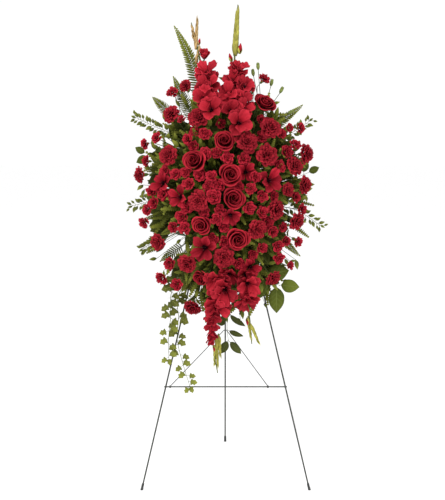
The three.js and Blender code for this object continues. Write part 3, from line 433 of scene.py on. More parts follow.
@dataclass(frozen=True)
class PetalFinish:
    """Thin petals: colour from root to rim with painted shade darkening towards the root, a tone for each
    petal, and fine lengthwise veins.
    """

    name: str
    root: Colour
    middle: Colour
    rim: Colour
    veins: float = 60.0
    roughness: float = 0.7
    sheen: float = 0.03
    waist: float = 0.45
    gloss: float = 0.04
    glow: Colour = (1.0, 0.1, 0.14)
    shading: tuple[float, float] = (0.72, 0.5)
    patch: float = 140.0
    grain: float = 420.0
    depth: float = 0.0004

    def build(self) -> bpy.types.Material:
        """Makes the material.

        Returns:
            The material.
        """
        shader = Shader(self.name)
        # The ramp darkens from the rim through the middle to near black at the root: painted shade in the
        # crevices between petals and deep in the flower's heart.
        stops = [(0.0, self.root), (1.0, self.rim), (self.waist, self.middle)]
        colour = shader.ramp(shader.attribute("along"), stops)
        colour = shader.shaded(colour, *self.shading, self.patch)
        veins = shader.wave(shader.math("MULTIPLY", shader.attribute("across"), self.veins))
        relief = shader.math("MULTIPLY_ADD", shader.noise(self.grain), 0.7, veins)
        shader.set(Roughness=self.roughness, Sheen_Weight=self.sheen, Sheen_Roughness=0.4)
        shader.set(Specular_IOR_Level=self.gloss, Sheen_Tint=(*self.glow, 1.0))
        shader.finish(colour, relief, self.depth, 0.5)
        return shader.material


@dataclass(frozen=True)
class LeafFinish:
    """Leaves: a pale midrib, side veins, mottling, and a waxy or dull surface."""

    name: str
    blade: Colour
    tip: Colour
    rib: Colour
    side_veins: float = 26.0
    slant: float = 6.0
    roughness: float = 0.45
    rib_width: float = 0.07
    gloss: float = 0.08
    shading: tuple[float, float] = (0.7, 0.55)
    patch: float = 90.0
    grain: float = 300.0
    depth: float = 0.0006
    rib_strength: float = 0.7
    vein_strength: float = 0.35
    vein_sharpness: float = 6.0

    def build(self) -> bpy.types.Material:
        """Makes the material.

        Returns:
            The material.
        """
        shader = Shader(self.name)
        along = shader.attribute("along")
        aside = shader.math("ABSOLUTE", shader.attribute("across"))
        colour = shader.ramp(along, [(0.15, self.blade), (1.0, self.tip)])
        colour = shader.shaded(colour, *self.shading, self.patch)
        lean = shader.math("MULTIPLY", aside, -self.slant)
        angle = shader.math("MULTIPLY_ADD", along, self.side_veins, lean)
        veins = shader.math("POWER", shader.wave(angle), self.vein_sharpness)
        veins = shader.math("MULTIPLY", veins, self.vein_strength)
        rib = shader.math("LESS_THAN", aside, self.rib_width)
        rib = shader.math("MULTIPLY", rib, self.rib_strength)
        vein = shader.math("MAXIMUM", veins, rib)
        colour = shader.mix(vein, colour, (*self.rib, 1.0))
        grain = shader.math("MULTIPLY", shader.noise(self.grain), 0.4)
        relief = shader.math("SUBTRACT", grain, vein)
        shader.set(Roughness=self.roughness, Specular_IOR_Level=self.gloss)
        shader.finish(colour, relief, self.depth)
        return shader.material


@dataclass(frozen=True)
class StalkFinish:
    """Stalks, stems and anthers: two close colours in soft patches, and a fine grain."""

    name: str
    light: Colour
    dark: Colour

    def build(self) -> bpy.types.Material:
        """Makes the material.

        Returns:
            The material.
        """
        shader = Shader(self.name)
        colour = shader.ramp(shader.noise(60.0, 4.0), [(0.3, self.dark), (0.7, self.light)])
        shader.set(Roughness=0.6, Specular_IOR_Level=0.16)
        shader.finish(colour, shader.noise(500.0), 0.0004)
        return shader.material


@dataclass(frozen=True)
class GrainFinish:
    """Painted wire, rubber or moulded plastic: two close colours in patches, and a fine grain."""

    name: str
    light: Colour
    dark: Colour
    patch: float
    grain: float
    depth: float
    roughness: float
    metallic: float = 0.0

    def build(self) -> bpy.types.Material:
        """Makes the material.

        Returns:
            The material.
        """
        shader = Shader(self.name)
        colour = shader.ramp(shader.noise(self.patch, 5.0), [(0.35, self.dark), (0.65, self.light)])
        shader.set(Roughness=self.roughness, Metallic=self.metallic)
        shader.finish(colour, shader.noise(self.grain, 2.0), self.depth)
        return shader.material


@dataclass(frozen=True)
class FoamFinish:
    """Wet floral foam: open cells a fraction of a millimetre to two millimetres wide."""

    name: str
    light: Colour
    dark: Colour
    cells: float = 520.0

    def build(self) -> bpy.types.Material:
        """Makes the material.

        Returns:
            The material.
        """
        shader = Shader(self.name)
        links = {"Vector": shader.place(), "Scale": self.cells}
        cells = shader.node("TexVoronoi", links).outputs["Distance"]
        mottled = shader.math("MULTIPLY_ADD", shader.noise(45.0), 0.6, shader.math("MULTIPLY", cells, 0.5))
        colour = shader.ramp(mottled, [(0.25, self.dark), (0.75, self.light)])
        shader.set(Roughness=0.9)
        shader.finish(colour, cells, 0.0008, 0.9)
        return shader.material


Finish = PetalFinish | LeafFinish | StalkFinish | GrainFinish | FoamFinish

# Near-black roots and dark middles of these petal colours are painted shade between the petals and in each
# flower's heart.
ROSE_PETALS = PetalFinish(
    "rose_petals", (0.01, 0.0, 0.0), (0.14, 0.003, 0.007), (0.38, 0.018, 0.03), veins=30.0, waist=0.72)
CARNATION_PETALS = PetalFinish(
    "carnation_petals", (0.016, 0.0, 0.001), (0.12, 0.003, 0.007), (0.33, 0.016, 0.027), veins=40.0,
    waist=0.62)
MINI_PETALS = PetalFinish(
    "mini_petals", (0.02, 0.0, 0.001), (0.17, 0.004, 0.009), (0.4, 0.018, 0.034), veins=32.0, waist=0.58)
STAR_PETALS = PetalFinish(
    "star_petals", (0.004, 0.0, 0.001), (0.18, 0.004, 0.01), (0.34, 0.015, 0.028), veins=34.0, waist=0.5)
GLADIOLUS_PETALS = PetalFinish(
    "gladiolus_petals", (0.006, 0.0, 0.001), (0.26, 0.008, 0.016), (0.38, 0.019, 0.032), veins=26.0,
    waist=0.44)
ANTHERS = StalkFinish("anthers", (0.1, 0.02, 0.03), (0.03, 0.005, 0.01))
BUD_SKIN = StalkFinish("bud_skin", (0.23, 0.27, 0.07), (0.12, 0.16, 0.04))
STALKS = StalkFinish("stalks", (0.09, 0.11, 0.022), (0.045, 0.06, 0.012))
FERN_RIBS = StalkFinish("fern_ribs", (0.07, 0.075, 0.012), (0.035, 0.04, 0.008))
SHEATHS = LeafFinish(
    "gladiolus_sheaths", (0.24, 0.23, 0.045), (0.42, 0.39, 0.07), (0.14, 0.13, 0.035), 0.0, 0.0, 0.5)
DRY_SHEATHS = LeafFinish(
    "dry_sheaths", (0.3, 0.19, 0.08), (0.42, 0.3, 0.13), (0.2, 0.12, 0.05), 0.0, 0.0, 0.6)
SEPALS = LeafFinish(
    "sepals", (0.06, 0.085, 0.01), (0.1, 0.125, 0.02), (0.1, 0.13, 0.02), 0.0, 0.0, 0.55)
FERN_LEAVES = LeafFinish(
    "fern_leaves", (0.07, 0.08, 0.009), (0.1, 0.11, 0.016), (0.09, 0.1, 0.018), 70.0, 4.0, 0.55,
    shading=(0.55, 1.7))
SPRIG_LEAVES = LeafFinish(
    "sprig_leaves", (0.06, 0.075, 0.01), (0.15, 0.165, 0.028), (0.15, 0.17, 0.04), 40.0, 8.0, 0.55)
SALAL_LEAVES = LeafFinish(
    "salal_leaves", (0.058, 0.075, 0.008), (0.085, 0.105, 0.012), (0.11, 0.135, 0.03), 34.0, 9.0, 0.55)
# A darker copy of the salal finish for the stem that hangs under the spray: painted shade.
SHADED_SALAL = LeafFinish(
    "shaded_salal", (0.035, 0.042, 0.008), (0.05, 0.06, 0.012), (0.075, 0.085, 0.025), 34.0, 9.0, 0.55)
IVY_LEAVES = LeafFinish(
    "ivy_leaves", (0.075, 0.085, 0.012), (0.13, 0.14, 0.02), (0.2, 0.21, 0.06), 26.0, 7.0, 0.5,
    shading=(0.35, 1.5))
# Real filling leaves, coloured near black as painted shade between and behind the flowers.
SHADE_DARKENED_LEAVES = LeafFinish(
    "shade_darkened_leaves", (0.022, 0.029, 0.003), (0.05, 0.058, 0.008), (0.05, 0.06, 0.014), 34.0, 9.0, 0.6)
DARK_FERN = LeafFinish(
    "dark_fern", (0.07, 0.083, 0.009), (0.2, 0.21, 0.032), (0.11, 0.12, 0.02), 70.0, 4.0, 0.6)
MOSS_LEAVES = LeafFinish(
    "moss_leaves", (0.095, 0.115, 0.014), (0.23, 0.245, 0.036), (0.16, 0.18, 0.04), 40.0, 8.0, 0.6)
WIRE_PAINT = GrainFinish(
    "wire_paint", (0.045, 0.048, 0.042), (0.026, 0.028, 0.024), 60.0, 900.0, 0.0002, 0.5, 0.35)
RUBBER = GrainFinish(
    "rubber", (0.035, 0.037, 0.035), (0.018, 0.019, 0.018), 150.0, 1400.0, 0.0002, 0.75)
TRAY_PLASTIC = GrainFinish(
    "tray_plastic", (0.022, 0.075, 0.03), (0.012, 0.045, 0.018), 30.0, 1100.0, 0.0001, 0.4)
FLORAL_FOAM = FoamFinish("floral_foam", (0.045, 0.12, 0.045), (0.012, 0.04, 0.014))


# Mesh building


class Sculpture:
    """One piece under construction, in the drawing's millimetres, with the attributes that finishes read."""

    def __init__(self, name: str) -> None:
        """Starts an empty piece.

        Args:
            name: The piece's name.
        """
        self.name = name
        self.finishes: list[Finish] = []
        self.thin: list[bpy.types.Mesh] = []
        self.solid: list[bpy.types.Mesh] = []
        self._open()

    def _open(self) -> None:
        """Starts an empty mesh to work on."""
        self.bm = bmesh.new()
        layers = self.bm.verts.layers.float
        self.along, self.across, self.tone = layers.new("along"), layers.new("across"), layers.new("tone")

    def _settle(self, done: list[bpy.types.Mesh]) -> None:
        """Sets aside what has been made, because operators slow down as a mesh grows.

        Args:
            done: Where it is kept.
        """
        mesh = bpy.data.meshes.new(self.name)
        self.bm.to_mesh(mesh)
        self.bm.free()
        done.append(mesh)
        self._open()

    def blade(self, place: Surface, columns: int, rows: int, finish: Finish, tone: float) -> None:
        """Adds one thin blade: a petal or a leaf.

        Args:
            place: The point at (across from -1 to 1, along from 0 to 1).
            columns: Faces across.
            rows: Faces along.
            finish: Its faces' finish.
            tone: How light it is, from 0 to 1.
        """
        if len(self.bm.faces) > WORK_FACES:
            self._settle(self.thin)
        made = bmesh.ops.create_grid(self.bm, x_segments=columns, y_segments=rows, size=0.5)
        for vert in made["verts"]:
            across, along = 2 * vert.co.x, vert.co.y + 0.5
            vert[self.along], vert[self.across], vert[self.tone] = along, across, tone
            vert.co = place(across, along)
        self._dress({face for vert in made["verts"] for face in vert.link_faces}, finish)

    def thicken(self, thickness: float) -> None:
        """Gives the blades made so far a thickness, and so closes them.

        Args:
            thickness: The thickness in millimetres.
        """
        self._settle(self.thin)
        for mesh in self.thin:
            self.bm.from_mesh(mesh)
            bpy.data.meshes.remove(mesh)
            bmesh.ops.solidify(self.bm, geom=list(self.bm.faces), thickness=thickness)
            self._settle(self.solid)
        self.thin = []

    def tube(self, points: Sequence[Vector], radii: Sequence[float], sides: int, finish: Finish) -> None:
        """Adds a closed round tube along points.

        Args:
            points: The middle of each ring.
            radii: The radius of each ring.
            sides: Faces round it.
            finish: Its faces' finish.
        """
        if len(self.bm.faces) > WORK_FACES:
            self._settle(self.solid)
        befores, afters = [points[0], *points[:-1]], [*points[1:], points[-1]]
        directions = [(after - before).normalized() for before, after in zip(befores, afters)]
        turn = Vector((0, 0, 1)).rotation_difference(directions[0])
        first = Matrix.Translation(points[0]) @ turn.to_matrix().to_4x4()
        made = bmesh.ops.create_circle(self.bm, cap_ends=True, segments=sides, radius=radii[0], matrix=first)
        ring = made["verts"]
        rim = list({edge for vert in ring for edge in vert.link_edges})
        every = set(ring)
        for k in range(1, len(points)):
            made = bmesh.ops.extrude_edge_only(self.bm, edges=rim)["geom"]
            moved = [item for item in made if isinstance(item, bmesh.types.BMVert)]
            rim = [item for item in made if isinstance(item, bmesh.types.BMEdge)]
            rim = [edge for edge in rim if all(vert in moved for vert in edge.verts)]
            swing = directions[k - 1].rotation_difference(directions[k]).to_matrix().to_4x4()
            matrix = (Matrix.Translation(points[k]) @ swing @ Matrix.Scale(radii[k] / radii[k - 1], 4)
                      @ Matrix.Translation(-points[k - 1]))
            bmesh.ops.transform(self.bm, matrix=matrix, verts=moved)
            every.update(moved)
        bmesh.ops.contextual_create(self.bm, geom=rim)
        for vert in every:
            vert[self.tone] = TUBE_TONE
        faces = {face for vert in every for face in vert.link_faces}
        bmesh.ops.recalc_face_normals(self.bm, faces=list(faces))
        self._dress(faces, finish)

    def _dress(self, faces: set[bmesh.types.BMFace], finish: Finish) -> None:
        """Gives faces their finish and shades them smoothly.

        Args:
            faces: The faces.
            finish: Their finish.
        """
        if finish not in self.finishes:
            self.finishes.append(finish)
        index = self.finishes.index(finish)
        for face in faces:
            face.material_index = index
            face.smooth = True

    def stand(self, slot: Slot, *replaces: str, body: Body = Body.STAND) -> None:
        """Ends the piece and puts it in the frame.

        Args:
            slot: The record's material slot; not used.
            replaces: The nodes that it stands for.
            body: What it rides on.
        """
        for part in self.solid:
            self.bm.from_mesh(part)
            bpy.data.meshes.remove(part)
        bmesh.ops.transform(self.bm, matrix=TO_FRAME, verts=list(self.bm.verts))
        mesh = bpy.data.meshes.new(self.name)
        self.bm.to_mesh(mesh)
        self.bm.free()
        for finish in self.finishes:
            mesh.materials.append(STOCK.get(finish))
        piece = bpy.data.objects.new(self.name, mesh)
        bpy.context.scene.collection.objects.link(piece)
        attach(piece, body.value)
        if replaces:
            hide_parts(*replaces)
        log.info("%s: %d faces", self.name, len(mesh.polygons))


class Stock:
    """Materials by finish, each made once."""

    def __init__(self) -> None:
        """Starts with nothing made."""
        self.made: dict[Finish, bpy.types.Material] = {}

    def get(self, finish: Finish) -> bpy.types.Material:
        """A finish's material.

        Args:
            finish: The finish.

        Returns:
            The material.
        """
        if finish not in self.made:
            self.made[finish] = finish.build()
        return self.made[finish]


STOCK = Stock()


# Flower heads


@dataclass(frozen=True)
class Spot:
    """Where a flower's middle is in the view, its width in millimetres, and which way it faces."""

    px: float
    py: float
    size: float
    face: Place | None = None
    back: float = 0.0
    y: float | None = None

    def at(self) -> Vector:
        """The flower's middle."""
        y = self.y if self.y is not None else OVAL.depth(self.px, self.py) + self.back
        return VIEW.seen(self.px, self.py, y)

    def facing(self) -> Vector:
        """The way that the flower faces."""
        return Vector(self.face).normalized() if self.face else OVAL.outward(self.px, self.py)


@dataclass(frozen=True)
class Whorl:
    """One ring of petals, in head radii.

    The path is a petal's profile from root to rim, as four pairs of distance from the axis and height.
    """

    count: int
    path: Pairs
    half: float
    ruffle: float
    folds: float
    fringe: float
    point: float = 0.25
    root: float = 0.35
    cup: float = 0.0
    turn: float = 0.0
    twist: float = 0.0
    taper: float = 0.0
    crease: float = 0.0


@dataclass(frozen=True)
class Kind:
    """A kind of flower head: its whorls, how finely they are meshed, and how its petals vary and open.

    The neck is where the stem meets the head, as a height in head radii.
    """

    whorls: tuple[Whorl, ...]
    columns: int
    rows: int
    neck: float
    jitter: float
    vary: float
    lift: float
    opening: float = 1.35
    still: float = 0.4
    lag: float = 3.0
    fringe_from: float = 0.7
    bend_out: float = 0.3


def bezier(path: Pairs, t: float) -> tuple[float, float]:
    """A point of a cubic curve in the plane.

    Args:
        path: The four points that shape it.
        t: How far along, from 0 to 1.

    Returns:
        The point.
    """
    weights = ((1 - t) ** 3, 3 * t * (1 - t) ** 2, 3 * t * t * (1 - t), t ** 3)
    out = sum(weight * place[0] for weight, place in zip(weights, path))
    high = sum(weight * place[1] for weight, place in zip(weights, path))
    return out, high


@dataclass(frozen=True)
class Stem:
    """A flower's stem: its radius, and how far it goes straight back from the head."""

    radius: float
    stalk: float


def add_stem(piece: Sculpture, line: list[Vector], radius: float) -> None:
    """Adds a round green stem of one radius, in millimetres, along corner points."""
    piece.tube(line, [radius] * len(line), STEM_SIDES, STALKS)


@dataclass
class Head:
    """A flower head on its place: an axis, two directions across it, and a radius."""

    at: Vector
    facing: Vector
    radius: float
    spin: float
    chance: random.Random

    def __post_init__(self) -> None:
        """Works out the two directions across the axis."""
        turn = Vector((0, 0, 1)).rotation_difference(self.facing)
        self.side = turn @ Vector((math.cos(self.spin), math.sin(self.spin), 0))
        self.other = self.facing.cross(self.side)

    def point(self, angle: float, out: float, high: float) -> Vector:
        """A point of the head.

        Args:
            angle: Angle about the axis.
            out: Distance from the axis, in head radii.
            high: Height along the axis, in head radii.

        Returns:
            The point.
        """
        across = self.side * math.cos(angle) + self.other * math.sin(angle)
        return self.at + (across * out + self.facing * high) * self.radius

    def neck(self, kind: Kind) -> Vector:
        """Where the stem meets a head of a kind."""
        return self.at + self.facing * kind.neck * self.radius

    def stem(self, piece: Sculpture, root: Vector, kind: Kind, stem: Stem) -> None:
        """Adds the head's stem, which ends straight in its neck.

        Args:
            piece: The piece that it goes in.
            root: Where the stem starts.
            kind: The kind of flower.
            stem: The stem's sizes.
        """
        neck = self.neck(kind)
        add_stem(piece, [root, neck - self.facing * stem.stalk, neck], stem.radius)

    def tube(self, piece: Sculpture, heights: Iterable[float], widths: Iterable[float],
             finish: Finish) -> None:
        """Adds a round tube on the head's axis.

        Args:
            piece: The piece that it goes in.
            heights: The height of each ring, in head radii.
            widths: The radius of each ring, in head radii.
            finish: Its finish.
        """
        points = [self.at + self.facing * self.radius * high for high in heights]
        piece.tube(points, [self.radius * width for width in widths], HEAD_SIDES, finish)

    def petals(self, piece: Sculpture, kind: Kind, finish: Finish) -> None:
        """Adds all the head's petals.

        Args:
            piece: The piece that they go in.
            kind: The kind of flower.
            finish: Their finish.
        """
        for whorl in kind.whorls:
            for k in range(whorl.count):
                place = k + self.chance.uniform(-kind.jitter, kind.jitter)
                self.petal(piece, kind, whorl, whorl.turn + 2 * math.pi * place / whorl.count, finish)

    def petal(self, piece: Sculpture, kind: Kind, whorl: Whorl, angle: float, finish: Finish) -> None:
        """Adds one petal.

        Args:
            piece: The piece that it goes in.
            kind: The kind of flower.
            whorl: The ring that the petal belongs to.
            angle: The petal's angle about the axis.
            finish: Its finish.
        """
        phase = self.chance.uniform(0, 2 * math.pi)
        reach = self.chance.uniform(1 - kind.vary, 1.0)
        lift = self.chance.uniform(-kind.lift, kind.lift)
        teeth = [self.chance.uniform(-1, 0.2) for _ in range(kind.columns + 1)]

        def place(across: float, along: float) -> Vector:
            """A point of this petal.

            Args:
                across: From -1 at one edge to 1 at the other.
                along: From 0 at the root to 1 at the rim.

            Returns:
                The point in the drawing.
            """
            t = along * (1 - whorl.point * across * across)
            out, high = bezier(whorl.path, t)
            wide = whorl.root + (1 - whorl.root) * math.sin(min(1.0, kind.opening * t) * math.pi / 2)
            wide *= 1 - whorl.taper * t ** 3
            edge = kind.still + (1 - kind.still) * abs(across)
            turn = phase + across * math.pi * whorl.folds + kind.lag * t
            wave = whorl.ruffle * edge * t * t * math.sin(turn)
            tooth = teeth[round((across + 1) / 2 * kind.columns)]
            fringe = max(0.0, along - kind.fringe_from) / (1 - kind.fringe_from)
            bend = whorl.cup * across * across * t + whorl.crease * abs(across) * t
            out *= reach * (1 + whorl.twist * across * t)
            out += whorl.fringe * tooth * fringe + bend * kind.bend_out
            return self.point(angle + whorl.half * across * wide, out, high + lift * t + wave + bend)

        piece.blade(place, kind.columns, kind.rows, finish, self.chance.random())


CARNATION = Kind((
    Whorl(8, ((0.1, -0.4), (0.25, -0.2), (0.64, -0.06), (1.08, -0.1)), 0.5, 0.15, 2.6, 0.09),
    Whorl(8, ((0.1, -0.35), (0.22, -0.1), (0.6, 0.12), (1.0, 0.08)), 0.48, 0.16, 2.8, 0.09, turn=0.4),
    Whorl(8, ((0.08, -0.3), (0.18, 0.0), (0.46, 0.28), (0.82, 0.26)), 0.5, 0.17, 2.8, 0.09, turn=0.1),
    Whorl(7, ((0.06, -0.2), (0.12, 0.1), (0.32, 0.42), (0.6, 0.42)), 0.58, 0.17, 2.6, 0.08, turn=0.5),
    Whorl(6, ((0.04, -0.1), (0.06, 0.15), (0.18, 0.46), (0.38, 0.52)), 0.7, 0.15, 2.4, 0.07, turn=0.2),
    Whorl(4, ((0.02, 0.0), (0.02, 0.2), (0.06, 0.44), (0.17, 0.54)), 0.9, 0.12, 2.0, 0.06),
), 10, 4, -0.95, 0.3, 0.16, 0.08)

MINI = Kind((
    Whorl(7, ((0.12, -0.42), (0.34, -0.24), (0.72, -0.04), (1.1, 0.06)), 0.54, 0.16, 2.2, 0.09),
    Whorl(6, ((0.08, -0.35), (0.22, -0.02), (0.5, 0.24), (0.86, 0.34)), 0.6, 0.16, 2.2, 0.09, turn=0.5),
    Whorl(5, ((0.05, -0.3), (0.12, 0.12), (0.28, 0.42), (0.54, 0.54)), 0.72, 0.16, 2.0, 0.08, turn=0.2),
    Whorl(4, ((0.02, -0.2), (0.03, 0.15), (0.08, 0.4), (0.26, 0.56)), 1.0, 0.13, 1.6, 0.06),
), 8, 4, -1.1, 0.3, 0.2, 0.1)

ROSE_PETAL_COUNT = 15
TIP_SHARE = 0.97


def rose_whorls() -> tuple[Whorl, ...]:
    """A rose's petals, each on its own turn of one spiral: wide and open outside, rolled tight inside.

    Returns:
        One ring of one petal for each.
    """
    whorls = []
    for k in range(ROSE_PETAL_COUNT):
        share = k / (ROSE_PETAL_COUNT - 1)
        out = 1.1 * (1 - share) ** 0.8 + 0.06
        high = 0.56 * share ** 0.7
        path = ((0.1, -0.6 + 0.3 * share), (0.86 * out, -0.6 + 0.45 * share),
                (out * (0.58 + 0.3 * share), high + 0.04), (out, high - 0.12 * (1 - share)))
        whorls.append(Whorl(1, path, 0.82 + 0.9 * share, 0.1 * (1 - 0.6 * share), 1.3, 0.0, 0.22, 0.6,
                            turn=k * GOLDEN_ANGLE, twist=0.02 + 0.16 * share))
    return tuple(whorls)


ROSE = Kind(rose_whorls(), 10, 8, -0.85, 0.06, 0.14, 0.1)

TRUMPET = Kind((
    Whorl(3, ((0.12, -0.6), (0.3, -0.4), (0.66, -0.24), (1.16, -0.2)), 0.66, 0.16, 2.2, 0.05, 0.3, 0.85, 0.1,
          taper=0.45, crease=0.12),
    Whorl(3, ((0.1, -0.55), (0.24, -0.3), (0.58, -0.04), (1.06, 0.1)), 0.68, 0.16, 2.2, 0.05, 0.3, 0.85, 0.1,
          turn=math.pi / 3, taper=0.45, crease=0.16),
), 12, 8, -0.9, 0.16, 0.2, 0.14)

SPIKE_FLORET = Kind((
    Whorl(3, ((0.12, -0.6), (0.3, -0.42), (0.7, -0.26), (1.2, -0.14)), 0.84, 0.17, 2.4, 0.05, 0.24, 0.85, 0.1,
          taper=0.45, crease=0.14),
    Whorl(3, ((0.1, -0.55), (0.22, -0.3), (0.52, 0.0), (1.08, 0.22)), 0.88, 0.18, 2.4, 0.05, 0.24, 0.85, 0.14,
          turn=math.pi / 3, taper=0.45, crease=0.18),
), 12, 9, -0.9, 0.18, 0.2, 0.16)

HALF_OPEN = Kind((
    Whorl(3, ((0.12, -0.7), (0.5, -0.4), (0.66, 0.1), (0.98, 0.5)), 1.0, 0.1, 1.6, 0.04, 0.2, 0.5, 0.1,
          taper=0.5, crease=0.1),
    Whorl(3, ((0.1, -0.6), (0.36, -0.3), (0.5, 0.3), (0.66, 0.8)), 1.0, 0.1, 1.6, 0.04, 0.2, 0.5, 0.1,
          turn=math.pi / 3, taper=0.5, crease=0.1),
), 8, 8, -0.9, 0.12, 0.15, 0.1)


@dataclass(frozen=True)
class Calyx:
    """What a head grows from: a tube, given in head radii, with sepals round it or stamens in it."""

    heights: tuple[float, ...]
    widths: tuple[float, ...]
    sepals: int = 0
    stamens: int = 0
    stamen_radii: tuple[float, ...] = (0.5, 0.5, 1.1, 0.6)
    stamen_turn: float = 2.1
    stamen_sway: float = 0.5
    stamen_ends: Pairs = ((0.03, -0.5), (0.14, -0.06))
    sepal_path: Pairs = ((0.14, -0.6), (0.4, -0.55), (0.62, -0.45), (0.78, -0.52))
    sepal_spread: float = 0.156
    sepal_turn: float = 0.3

    def ring(self, piece: Sculpture, head: Head) -> None:
        """Adds the narrow pointed sepals, which bend back.

        Args:
            piece: The piece that they go in.
            head: The head that they hold.
        """
        for k in range(self.sepals):
            angle = 2 * math.pi * k / self.sepals + self.sepal_turn

            def place(across: float, along: float) -> Vector:
                """A point of this sepal.

                Args:
                    across: From -1 at one edge to 1 at the other.
                    along: From 0 at the root to 1 at the tip.

                Returns:
                    The point in the drawing.
                """
                out, high = bezier(self.sepal_path, along)
                spread = self.sepal_spread * across * (1 - TIP_SHARE * along ** 2)
                return head.point(angle + spread / out, out, high)

            piece.blade(place, 2, 4, SEPALS, head.chance.random())

    def tube(self, piece: Sculpture, head: Head, petals: PetalFinish) -> None:
        """Adds the tube, which has the petals' colour where stamens stand in it, and the stamens.

        Args:
            piece: The piece that they go in.
            head: The head that they hold.
            petals: The head's finish.
        """
        # A throat with stamens takes the petals' finish with no along value, so the near-black root end of
        # its ramp: painted shade deep in the throat.
        head.tube(piece, self.heights, self.widths, petals if self.stamens else SEPALS)
        for k in range(self.stamens):
            angle = self.stamen_turn * k + head.chance.uniform(0, self.stamen_sway)
            root, tip = (head.point(angle, *end) for end in self.stamen_ends)
            points = [root, root.lerp(tip, 0.6), tip.lerp(root, 0.3), tip]
            piece.tube(points, self.stamen_radii, 5, ANTHERS)


@dataclass(frozen=True)
class Sheath:
    """A pointed blade wrapped round a head's axis, in head radii, with a belly part of the way up."""

    low: float
    length: float
    half_angle: float
    power: float
    base: float
    belly: float
    swell: float = 0.0
    run: float = 1.0
    slope: float = 0.0
    lean: float = 0.0
    columns: int = 4
    rows: int = 6

    def add(self, piece: Sculpture, head: Head, angle: float, finish: Finish) -> None:
        """Adds the blade.

        Args:
            piece: The piece that it goes in.
            head: What it is wrapped round.
            angle: Its middle's angle about the axis.
            finish: Its finish.
        """

        def place(across: float, along: float) -> Vector:
            """A point of the blade.

            Args:
                across: From -1 at one edge to 1 at the other.
                along: From 0 at the root to 1 at the tip.

            Returns:
                The point in the drawing.
            """
            swell = math.sin(math.pi * min(1.0, self.swell + self.run * along))
            out = (self.base + self.slope * along + self.belly * swell) * (1 - self.lean * along)
            spread = self.half_angle * (1 - TIP_SHARE * along ** self.power) * across
            return head.point(angle + spread, out, self.low + self.length * along)

        piece.blade(place, self.columns, self.rows, finish, head.chance.random())


CARNATION_TUBE = Calyx((-0.97, -0.85, -0.66, -0.48, -0.38), (0.07, 0.15, 0.19, 0.2, 0.14))
ROSE_HIP = Calyx((-0.9, -0.78, -0.66, -0.56), (0.06, 0.13, 0.15, 0.12), sepals=5)
TRUMPET_THROAT = Calyx((-0.92, -0.75, -0.55, -0.44), (0.06, 0.1, 0.16, 0.21), stamens=3)


@dataclass
class Bunch:
    """Heads of one kind on stems that meet in one stem sunk in the foam."""

    name: str
    spots: list[Spot]
    kind: Kind
    stem: Stem
    slot: Slot
    petals: PetalFinish
    calyx: Calyx
    sway: float = 0.1
    spin: float = 0.7
    fork_share: float = 0.4
    fork_back: float = 10.0

    def build(self) -> None:
        """Makes the piece."""
        chance = random.Random(self.name)
        piece = Sculpture(f"{self.name}_flowers")
        heads = []
        for k, spot in enumerate(self.spots):
            sway = Vector([chance.uniform(-self.sway, self.sway) for _ in range(3)])
            facing = (spot.facing() + sway).normalized()
            head = Head(spot.at(), facing, spot.size / 2, k * self.spin, chance)
            head.petals(piece, self.kind, self.petals)
            self.calyx.ring(piece, head)
            heads.append(head)
        piece.thicken(PETAL_THICKNESS)
        middle = sum((head.at for head in heads), Vector()) / len(heads)
        sink = FOAM.sink_point(middle)
        root = sink
        if len(heads) > 1:
            root = sink.lerp(middle, self.fork_share) - FOAM.forward * self.fork_back
            add_stem(piece, [sink, root], self.stem.radius)
        for head in heads:
            head.stem(piece, root, self.kind, self.stem)
            self.calyx.tube(piece, head, self.petals)
        piece.stand(self.slot, self.name)


ROSE_STEM = Stem(2.3, 26)
CARNATION_STEM = Stem(1.9, 24)
TRUMPET_STEM = Stem(1.7, 20)
MINI_STEM = Stem(1.3, 16)

ROSES = {
    "rose_top_right": [Spot(265, 103, 84, (0.3, -0.8, 0.7))],
    "rose_upper_centre": [Spot(224, 141, 78)],
    "rose_left": [Spot(194, 160.8, 84)],
    "rose_centre": [Spot(230.4, 174.5, 82)],
    "rose_middle": [Spot(233.5, 198.4, 80)],
    "rose_mid_left": [Spot(201, 225.5, 74)],
    "rose_low_right": [Spot(237.8, 239.5, 84)],
    "rose_low_left": [Spot(200.3, 278, 66, (-0.6, -1, -0.3))],
}

CARNATIONS = {
    "carnations_top_left": [Spot(185.3, 85.5, 54, (-0.7, -0.8, 0.5)), Spot(171, 114, 73, (-0.6, -1, 0.5)),
                            Spot(198.5, 116.7, 79)],
    "carnations_top_right": [Spot(270.7, 127.7, 83), Spot(247, 142, 83)],
    "carnations_left": [Spot(168.3, 155, 77), Spot(139.8, 175.3, 66, (-1, -0.35, 0))],
    "carnations_right_high": [Spot(267.4, 155, 86), Spot(295, 166, 75),
                              Spot(306.5, 154, 75, (1, -0.6, 0.15))],
    "carnations_right": [Spot(305.2, 185, 71, (1, -0.7, -0.1)), Spot(288.2, 189.7, 54),
                         Spot(276.6, 209.6, 75, (0.7, -0.9, 0.1)), Spot(297, 221.4, 71, (0.8, -0.8, -0.3))],
    "carnations_low_right": [Spot(257.5, 229.5, 77), Spot(273, 278.5, 66, (0.5, -0.7, -0.7)),
                             Spot(224, 257.5, 83)],
    "carnations_low_left": [Spot(198, 201, 81), Spot(157.5, 242.5, 66), Spot(187, 264, 77)],
    "carnation_hanging": [Spot(192.6, 307.8, 70, (-0.2, -0.9, -0.55))],
}

STARS = {
    "star_florets_left": [Spot(160.5, 183, 86), Spot(178, 197, 89)],
    "star_florets_right": [Spot(246.8, 172, 77, back=30), Spot(271.5, 180, 91)],
    "star_florets_low": [Spot(203, 248.7, 98), Spot(230.4, 217, 70, (0, -1, -0.6)), Spot(251, 268, 79)],
}

